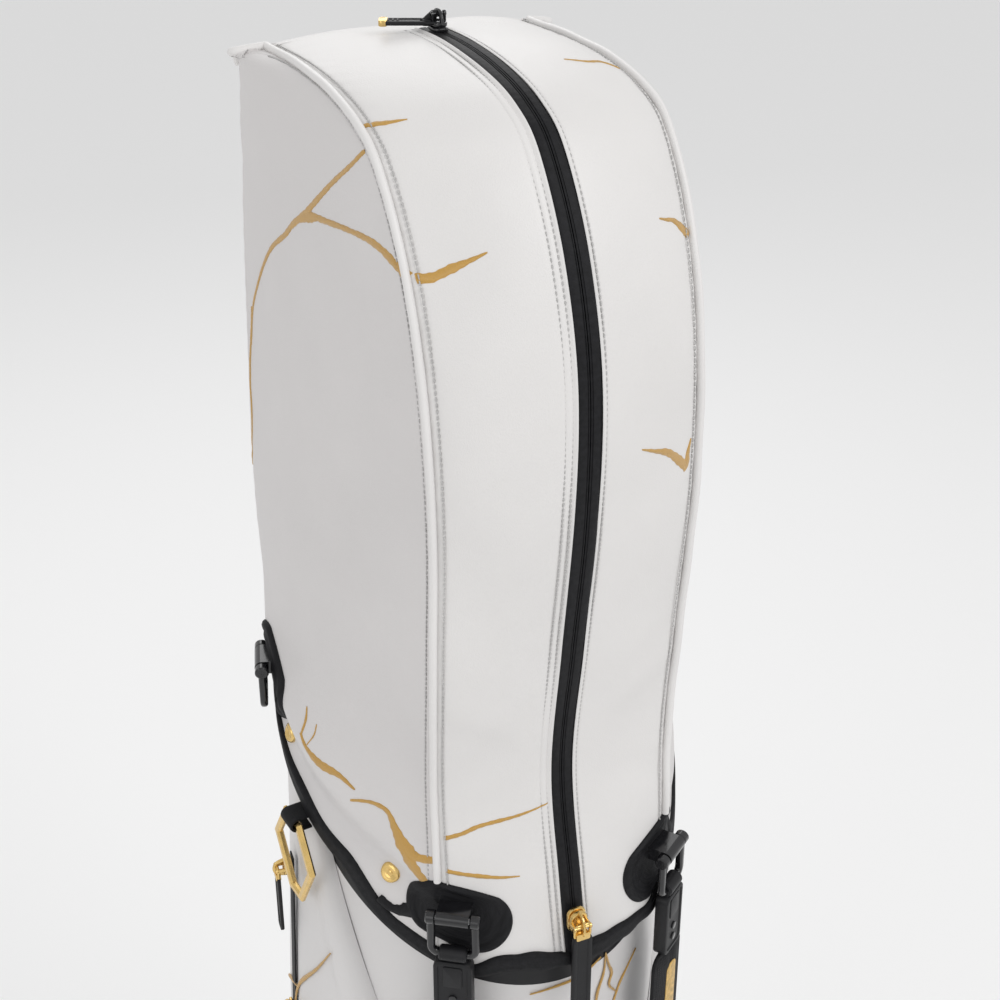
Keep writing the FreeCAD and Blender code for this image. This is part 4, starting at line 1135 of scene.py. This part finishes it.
def hood_sliders():
    hinge = joint_place("hood_pull_swing")
    body = Piece()
    slider_shell(body, hinge.moved(y=-slider_height(HOOD_SLIDER)), HOOD_SLIDER)
    body.make("hood_zip_slider", "hood_slider", "gold_metal", GOLD, ("hood_slider",))
    tab = Piece()
    pull_shell(tab, hinge, (13.0, 74.0, 2.8), 4.0)
    tab.make("hood_zip_pull", "hood_pull", "pull_rubber", [GOLD, RUBBER], ("hood_pull",))

    joint = JOINTS["crown_pull_lift"]
    spot = np.array(joint["pos_m"]) / MM
    lay = np.cross(np.array(joint["axis"]), UP)
    low, high = box_mm("crown_pull")
    if np.dot(lay, (low + high) / 2 - spot) < 0:
        lay = -lay
    body = Piece()
    slider_shell(body, Place(spot - UP * slider_height(SMALL_SLIDER), UP, [0, 1, 0]), SMALL_SLIDER)
    body.make("crown_zip_slider", "crown_slider", "moulded_plastic", GLOSS, ("crown_slider",))
    tab = Piece()
    hinge = Place(spot, UP, -lay)
    flat = hinge.moved(y=-CROWN_PULL_DROP)
    tab.add(sweep([(0, 0.4, 1.0), (0, 0, -2.5), (0, -CROWN_PULL_DROP, -7.5), (0, -CROWN_PULL_DROP, -10)],
                  round_section(1.2, 2.2, 3.0), [1, 0, 0.001]), hinge, 1)
    pull_shell(tab, flat, (9.0, 26.0, 2.4), 2.4, (1, 1))
    tip = plate_layers(-1.7, 1.7, 0.5)
    tab.add(layered(9.6, 5.0, 2.0, tip, 0, -30.5), flat, 0)
    tab.make("crown_zip_pull", "crown_pull", "pull_rubber", [GOLD, RUBBER], ("crown_pull",))


pocket_sliders()
hood_sliders()


# ---------------------------------------------------------------- rings and straps
RINGS = ("front_left", "front_right", "rear_left", "rear_right", "shoulder")
STRAPS = {"front_left": 200.0, "front_right": 200.0, "shoulder": 420.0}
RING_DROP = 27.0                # from the ring's pin to its lower bar
RING_REACH, RING_CORNER, RING_BAR, RING_EYE = 13.5, 5.0, 2.5, 4.4
STRAP_WIDTH, STRAP_THICK, STRAP_TAIL = 38.0, 8.6, 26.0
STRAP_TOP = -52.0               # top of the padded length, from the ring's lower bar
END_WIDTH, END_LENGTH, END_HALF = 24.0, 48.0, 4.5


def strap_ring(name):
    """Rectangular ring of round bar with two eyes on its pin."""
    piece = Piece(joint_place("ring_" + name + "_swing"))
    path = [(-RING_REACH, 0, -3)]
    for turn in np.linspace(0, math.pi / 2, 7):
        x = -RING_REACH + RING_CORNER * (1 - math.cos(turn))
        path.append((x, 0, -RING_DROP + RING_CORNER * (1 - math.sin(turn))))
    path += [(-x, y, z) for x, y, z in reversed(path)]
    section = round_section(RING_BAR, RING_BAR, 2.6, 16)
    piece.add(sweep(evenly(np.array(path, float), 60), section, [0, 1, 0]))
    for x in (-RING_REACH, RING_REACH):
        piece.add(rod((x - 3, 0, 0), (x + 3, 0, 0), RING_EYE, 24, 0.8))
    piece.make("strap_ring_" + name, "ring_" + name, "moulded_plastic", GLOSS, ("ring_" + name,))


def strap_end_piece(name):
    """Moulded strap end: eye, neck, and a body with an embossed field and rivets."""
    place = joint_place("ring_" + name + "_swing").moved(z=-RING_DROP)
    piece = Piece(place)
    piece.add(rod((-8.5, 0, 0), (8.5, 0, 0), 5.0, 28, 0.9))
    piece.add(layered(17, 9, 2, plate_layers(-3, 3, 0.6), 0, -4))
    layers = plate_layers(-END_HALF, END_HALF, 1.2, (2.6, 0.7))
    piece.add(layered(END_WIDTH, END_LENGTH, 5, layers, 0, -4 - END_LENGTH / 2))
    raised = plate_layers(3.4, 4.4, 0.4)
    piece.add(layered(12, 16, 1.6, raised, 0, -16))
    for z in (-33, -42):
        piece.add(layered(5, 5, 2.49, plate_layers(3.4, 4.9, 0.5), 0, z), kind=1)
    piece.make("strap_mould_" + name, "strap_" + name, "moulded_plastic", [PLASTIC, GLOSS],
               ("strap_end_" + name,))


def pad_shell(width, length, thick, top, rows=64, cols=17):
    """Crowned pad with rounded ends, sewn edges and a channel along its middle."""
    grids = []
    across = np.sin(np.linspace(-1, 1, cols) * math.pi / 2)
    for side in (1, -1):
        grid = []
        for v in np.linspace(0, 1, rows):
            z = v * length
            end = min(z, length - z)
            half = width / 2 - 8 * (1 - rounding(end, 8))
            x = across * half
            crown = (1 - np.abs(across) ** 2.6) * min(1, (end + 0.4) / 10) ** 0.5
            channel = 1 - 0.35 * ridge(x, 1.6) - 0.2 * ridge(np.abs(x) - half * 0.62, 1.3)
            ripple_z = 1 + 0.05 * math.sin(z / 9.0)
            grid.append(np.stack([x, side * (0.8 + (thick / 2 - 0.8) * crown * channel * ripple_z),
                                  np.full(cols, top - z)], axis=1))
        grids.append(np.array(grid))
    shell = grid_shell(grids[0], grids[1])
    uv = np.stack([shell[0][:, 0], shell[0][:, 2]], axis=1)
    return (*shell, uv)


def strap_piece(name, length):
    """Padded strap with an edge binding, a mesh inlay and its webbing tail."""
    place = joint_place("ring_" + name + "_swing").moved(z=-RING_DROP)
    piece = Piece(place)
    piece.add(pad_shell(STRAP_WIDTH, length, STRAP_THICK, STRAP_TOP))
    middle, low = STRAP_TOP - length / 2, STRAP_TOP - length
    rim = [(x, 0, middle + z) for x, z in outline(STRAP_WIDTH - 1.0, length - 1.0, 8.0, 8)]
    piece.add(sweep(rim, round_section(1.5, 1.3, count=10), [0, 1, 0], closed=True), kind=1)
    tail = evenly(np.array([(0, 0, low + 4), (0, 0, low - STRAP_TAIL)], float), 12)
    piece.add(sweep(tail, round_section(1.4, 11.5, 6.0, 24), [0, 1, 0]), kind=1)
    inlay = layered(13, length - 26, 4, plate_layers(3.6, 4.7, 0.4), 0, middle)
    piece.add(inlay, kind=2)
    pad = piece.make("strap_pad_" + name, "strap_" + name, "strap_fabric", [PAD_CLOTH, BINDING, GOLD_MESH],
                     ("strap_" + name,), sharp=55)


for ring_name in RINGS:
    strap_ring(ring_name)
for strap_name, strap_length in STRAPS.items():
    strap_end_piece(strap_name)
    strap_piece(strap_name, strap_length)


WEBBING_BEND = 4.2               # radius of the webbing round the towel ring's bar


TOWEL_CORNERS = [(9.5, 0.0), (25.0, -26.0), (7.0, -58.0)]      # one half: across, up


def towel_ring_piece():
    """Six-sided ring of flat bar with mitred, faceted corners."""
    place = joint_place("towel_ring_swing")
    corners = TOWEL_CORNERS + [(-x, z) for x, z in reversed(TOWEL_CORNERS)]
    piece = Piece(place)
    quarter = [(0.9, 2.9), (2.2, 1.5), (2.2, -1.5), (0.9, -2.9)]
    facet = quarter + [(-a, -b) for a, b in quarter]
    middle = np.mean(corners, axis=0)
    rows = []
    for index, corner in enumerate(corners):
        before = unit(np.subtract(corner, corners[index - 1]))
        after = unit(np.subtract(corners[(index + 1) % len(corners)], corner))
        mitre = unit(np.add([before[1], -before[0]], [after[1], -after[0]]))
        if np.dot(mitre, np.subtract(corner, middle)) < 0:
            mitre = -mitre
        stretch = 1 / max(0.5, abs(np.dot(mitre, [before[1], -before[0]])))
        mitre = mitre * stretch
        rows.append([(corner[0] + mitre[0] * b, a, corner[1] + mitre[1] * b) for a, b in facet])
    piece.add((np.array(rows).reshape(-1, 3), ring_faces(len(rows), len(facet), closed=True)))
    piece.make("towel_loop", "towel_ring", "gold_metal", GOLD, ("towel_ring",), sharp=12)


def towel_webbing():
    """Folded webbing that holds the towel ring to the body."""
    place = joint_place("towel_ring_swing")
    low, high = box_mm("towel_tab")
    corners = np.array([[x, y, place.origin[2]] for x in (low[0], high[0]) for y in (low[1], high[1])])
    back = np.min((corners - place.origin) @ place.axes[1]) + 2.0
    turns = np.linspace(math.pi / 2, -math.pi / 2, 12)
    bend = [(0, WEBBING_BEND * math.cos(turn), WEBBING_BEND * math.sin(turn)) for turn in turns]
    path = np.array([(0, back, WEBBING_BEND)] + bend + [(0, back, -WEBBING_BEND)])
    path = evenly(path, 40)
    normals = units(np.stack([np.zeros(40), np.maximum(path[:, 1], 0), path[:, 2]], axis=1))
    piece = Piece(place)
    piece.add(sweep(path, round_section(0.9, 8.0, 6.0, 20), normals))
    piece.make("towel_webbing", "bag", "webbing", BINDING, ("towel_tab",), sharp=55)


towel_ring_piece()
towel_webbing()


# ---------------------------------------------------------------- body, base and pockets
def body_tube():
    """Body shell in soft leather over its frame, hollow, with the cuff's slope at its top."""
    low = SHELL_LOW[2]

    def pair(turn, v):
        point, normal = site(turn)
        z = low + v * (hem_z(point[1]) - CUFF_BELOW_HEM - low)
        sag = 0.5 * math.sin(z / 37 + math.radians(turn) * 3)
        sag += 0.4 * math.sin(z / 61 - math.radians(turn) * 5)
        edge = min(1, min(v, 1 - v) * 20)
        return point + normal * sag * edge + UP * z, point - normal * BODY_WALL + UP * z

    shell = shell_of(np.linspace(0, 1, 90), np.linspace(0, 360, 160, endpoint=False), pair, wrap=True)
    Piece().add(shell).make("body_skin", "bag", "pu_leather_body", BODY, ("body_shell",))


# Tall pockets: bottom, half size along Y at the front and back, depth where full and at the top.
TALL_BOTTOM, TALL_FRONT, TALL_BACK = 84.0, -92.0, 91.0
TALL_FULL, TALL_TOP_OUT, TALL_TAPER = 26.0, 6.0, (420.0, 460.0)
TALL_SLANT = (680.0, 0.42)     # the front edge leans back above this height, by this much
UNDER_SKIN = 0.4               # a pocket's inner face stands this far off the body


def side_out(z):
    start, span = TALL_TAPER
    return TALL_FULL - (TALL_FULL - TALL_TOP_OUT) * np.clip((z - start) / span, 0, 1)


def on_body(y, z, sign, out):
    """Point on a side of the body at a depth y, standing out by a distance."""
    half_x, half_y = HALF_X + out, HALF_Y + out
    return np.array([sign * half_x * math.sqrt(max(0.0, 1 - (y / half_y) ** 2)), y, z])


def side_pocket(side, sign):
    """Tall apparel pocket: puffed face, rounded edges, slanted front edge, seams sunk in."""
    slant, lean = TALL_SLANT

    def pair(u, v):
        rise = TALL_BOTTOM + v * (862.0 - TALL_BOTTOM)
        front = TALL_FRONT + lean * max(0.0, rise - slant)
        y = front + u * (TALL_BACK - front)
        height = TALL_BOTTOM + v * (hem_z(y) - 6.0 - TALL_BOTTOM)
        rim = min(y - front, TALL_BACK - y, height - TALL_BOTTOM)
        soft = rounding(rim, 16.0)
        puff = 1.4 * math.sin(math.pi * u) * math.sin(math.pi * min(1, v * 1.3)) - 1.0
        crease = 0.7 * math.sin(height / 33 + 2 * u) * math.sin(math.pi * u)
        groove = 1.0 * ridge(rim - 19.0, 1.6) + 1.3 * ridge(y - 18.0, 8.0) * (430 < height < 740)
        out = 1.2 + (side_out(height) - 1.2) * (0.25 + 0.75 * soft) + (puff + crease - groove) * soft
        return on_body(y, height, sign, out), on_body(y, height, sign, UNDER_SKIN)

    piece = Piece().add(shell_of(np.linspace(0, 1, 120), np.linspace(0, 1, 48), pair))
    pocket = piece.make("apparel_pocket_" + side, "bag", "pu_leather_body", BODY, ("pocket_" + side,))


def on_front(x, z, out):
    half_x, half_y = HALF_X + out, HALF_Y + out
    return np.array([x, -half_y * math.sqrt(max(0.0, 1 - (x / half_x) ** 2)), z])


def front_pocket(name, replaced, width, bottom, top, depth):
    """Pouch on the front: a puffed face over gusset sides."""

    def pair(u, v):
        x, z = -width / 2 + u * width, bottom + v * (top - bottom)
        edge_x, edge_z = min(x + width / 2, width / 2 - x), min(z - bottom, top - z)
        corner = math.hypot(max(0.0, 20 - edge_x), max(0.0, 20 - edge_z))
        rim = min(edge_x, edge_z, max(0.0, 20 - corner))
        soft = rounding(rim, 14.0)
        puff = 1.6 * math.sin(math.pi * u) * math.sin(math.pi * v) - 1.4
        beside_zip = 1.2 * ridge(x + width / 2 - 22.0, 7.0) * (0.05 < v < 0.95)
        groove = 0.9 * ridge(rim - 16.0, 1.2) + beside_zip
        out = 1.0 + (depth - 1.0) * (0.12 + 0.88 * soft) + (puff - groove) * soft
        return on_front(x, z, out), on_front(x, z, UNDER_SKIN)

    shares = np.linspace(0, 1, 44)
    piece = Piece().add(shell_of(shares, shares, pair))
    pocket = piece.make(name, "bag", "pu_leather_body", BODY, (replaced,))


body_tube()
side_pocket("left", -1)
side_pocket("right", 1)
front_pocket("ball_pouch", "pocket_ball", 128.0, 84.0, 372.0, 38.0)
front_pocket("accessory_pouch", "pocket_accessory", 78.0, 392.0, 560.0, 22.0)


def back_handle_piece():
    """Padded carry handle: webbing arch under a stuffed grip with a sewn seam."""
    low, high = box_mm("back_handle")
    middle, foot, reach = (low[2] + high[2]) / 2, low[1], high[1] - 6.5
    half = (high[2] - low[2]) / 2
    arch = [(0, foot + 1, half - 3), (0, foot + 12, half - 9), (0, reach - 7, half - 20),
            (0, reach, half - 34), (0, reach, 0)]
    arch = np.array(arch + [(x, y, -z) for x, y, z in reversed(arch[:-1])], float) + [0, 0, middle]
    path = curve_through(arch, 90)
    normals = units(np.stack([np.zeros(90), path[:, 1] - foot + 6, 0.55 * (path[:, 2] - middle)], axis=1))
    piece = Piece()
    piece.add(sweep(path, round_section(1.6, 13.0, 6.0, 28), normals), kind=1)
    grip = path[18:-18]
    share = np.linspace(-1, 1, len(grip))
    swell = (1 - 0.45 * np.abs(share) ** 8) * (1 + 0.05 * np.cos(share * 9.0))
    piece.add(sweep(grip, round_section(6.2, 14.2, 2.5, 32), normals[18:-18], scale=swell), kind=0)
    for side in (-1, 1):
        seam = grip[3:-3] + normals[21:-21] * 0.4 + [side * 13.6, 0, 0]
        piece.add(sweep(seam, round_section(1.0, 1.0), normals[21:-21]), kind=1)
    for z in (middle + half - 8, middle - half + 8):
        foot_plate = Place([0, foot, z], [0, 1, 0])
        piece.add(layered(34, 22, 4, plate_layers(-0.6, 2.4, 0.7, (3.0, 0.5))), foot_plate, 2)
        for x in (-11, 11):
            piece.add(layered(5, 5, 2.49, plate_layers(1.6, 3.4, 0.6), x, 0), foot_plate, 3)
    handle = piece.make("grab_handle", "bag", "strap_fabric", [PAD_CLOTH, BINDING, PLASTIC, STEEL],
                        ("back_handle",), sharp=50)


def spine_trim():
    """Rolled edge and stitching round the panel that carries the handle."""
    low, high = box_mm("back_spine")
    middle = (low + high) / 2
    place = Place([0, high[1], middle[2]], [0, 1, 0])
    width, height = high[0] - low[0], high[2] - low[2]
    corner = width * 0.3
    rim = np.array([(x, -0.6, z) for x, z in outline(width - 3, height - 3, corner, 10)])
    piece = Piece()
    piece.add(sweep(rim, round_section(1.7, count=10), [0, 1, 0], closed=True), place)
    line = evenly(np.array([(x, 0.1, z) for x, z in outline(width - 13, height - 13, corner, 10)]), 240)
    stitch_row(piece, place.to_world(line), np.broadcast_to([0.0, 1.0, 0.0], line.shape), 4.2, 0.5)
    piece.make("spine_trim", "bag", "webbing", BINDING)


BODY_CRACKS = (
    ((-24, 700), (-8, 702), (11, 704), (26, 711)),
    ((30, 712), (33, 700), (36, 691), (34, 682), (40, 672)),
    ((30, 712), (29, 696), (24, 680), (22, 655)),
    ((60, 692), (51, 684), (43, 674), (36, 656)),
)
POCKET_CRACKS = (
    ((-42, 700), (-24, 672), (8, 630), (20, 590)),
    ((8, 630), (30, 618), (52, 600)),
    ((-70, 420), (-40, 396), (-8, 402), (30, 372)),
)


def body_embroidery():
    """Thin gold cracks on the body's front and on the tall pockets."""
    piece = Piece()
    for points in BODY_CRACKS:
        domed_band(piece, points, (0.8, 2.2, 1.0),
                   lambda x, z: (on_front(x, z, 0.9), unit([x / 2, -1 * HALF_Y, 0])))
    for sign in (-1, 1):
        for points in POCKET_CRACKS:
            domed_band(piece, points, (0.8, 3.2, 1.0),
                       lambda y, z: (on_body(y, z, sign, side_out(z) + 0.6), np.array([sign, 0.0, 0.0])))
    piece.make("body_embroidery", "bag", "gold_metal", THREAD, sharp=60)


back_handle_piece()
spine_trim()
body_embroidery()


# ---------------------------------------------------------------- frame pieces that show as they are
def finish_frame_nodes():
    finishes = {
        "base_tub": PLASTIC,
        "base_feet": FOOT,
        "top_cuff": PLASTIC,
        "divider_sleeves": LINING,
        "stay_rods": STAY,
        "back_spine": PLASTIC,
        "pocket_zip_tapes": ZIP,
        "ring_brackets": GLOSS,
        "ring_pins": STEEL,
        "strap_anchors": PLASTIC,
        "snap_studs": GOLD,
    }
    for node, finish in finishes.items():
        mesh = frame["nodes"][node].data
        mesh.materials.clear()
        mesh.materials.append(finish)


finish_frame_nodes()


# ---------------------------------------------------------------- stage, light, camera
def floor():
    mesh = bpy.data.meshes.new("floor")
    size = 6.0
    corners = [(-size, -size, 0), (size, -size, 0), (size, size, 0), (-size, size, 0)]
    mesh.from_pydata(corners, [], [(0, 1, 2, 3)])
    ground = bpy.data.objects.new("floor", mesh)
    bpy.context.scene.collection.objects.link(ground)
    mesh.materials.append(Finish("floor_paint", (0.93, 0.93, 0.93), 0.8, space=None).made)


LAMPS = {                       # place, aim, power in watts, size
    "key": ((0.9, -1.6, 2.5), (0, 0, 1.0), 17, 1.2),
    "fill": ((-2.2, -1.2, 1.8), (0, 0, 0.9), 9, 1.6),
    "back": ((0.6, 2.0, 2.2), (0, 0, 1.0), 10, 1.4),
}
SKY_STRENGTH = 0.74
LENS = 64.6
CAMERA_PLACE = (-0.3862, -0.8679, 1.5194)
CAMERA_TILT, CAMERA_TURN = 60.55, -24.79


def lamps():
    for name, (where, aim, power, size) in LAMPS.items():
        light = bpy.data.lights.new(name, "AREA")
        light.energy = power
        light.size = size
        lamp = bpy.data.objects.new(name, light)
        lamp.location = where
        lamp.rotation_euler = (Vector(aim) - Vector(where)).to_track_quat("-Z", "Y").to_euler()
        bpy.context.scene.collection.objects.link(lamp)


def studio():
    world = bpy.data.worlds.new("studio")
    world.use_nodes = True
    sky = world.node_tree.nodes["Background"]
    sky.inputs["Color"].default_value = (1, 1, 1, 1)
    sky.inputs["Strength"].default_value = SKY_STRENGTH
    bpy.context.scene.world = world
    lamps()
    bpy.context.scene.view_settings.view_transform = "Standard"


def camera():
    data = bpy.data.cameras.new("view")
    data.lens = LENS
    data.sensor_width = 36.0
    view = bpy.data.objects.new("view", data)
    view.location = CAMERA_PLACE
    view.rotation_euler = (math.radians(CAMERA_TILT), 0, math.radians(CAMERA_TURN))
    bpy.context.scene.collection.objects.link(view)
    bpy.context.scene.camera = view


floor()
studio()
camera()


bpy.context.view_layer.update()
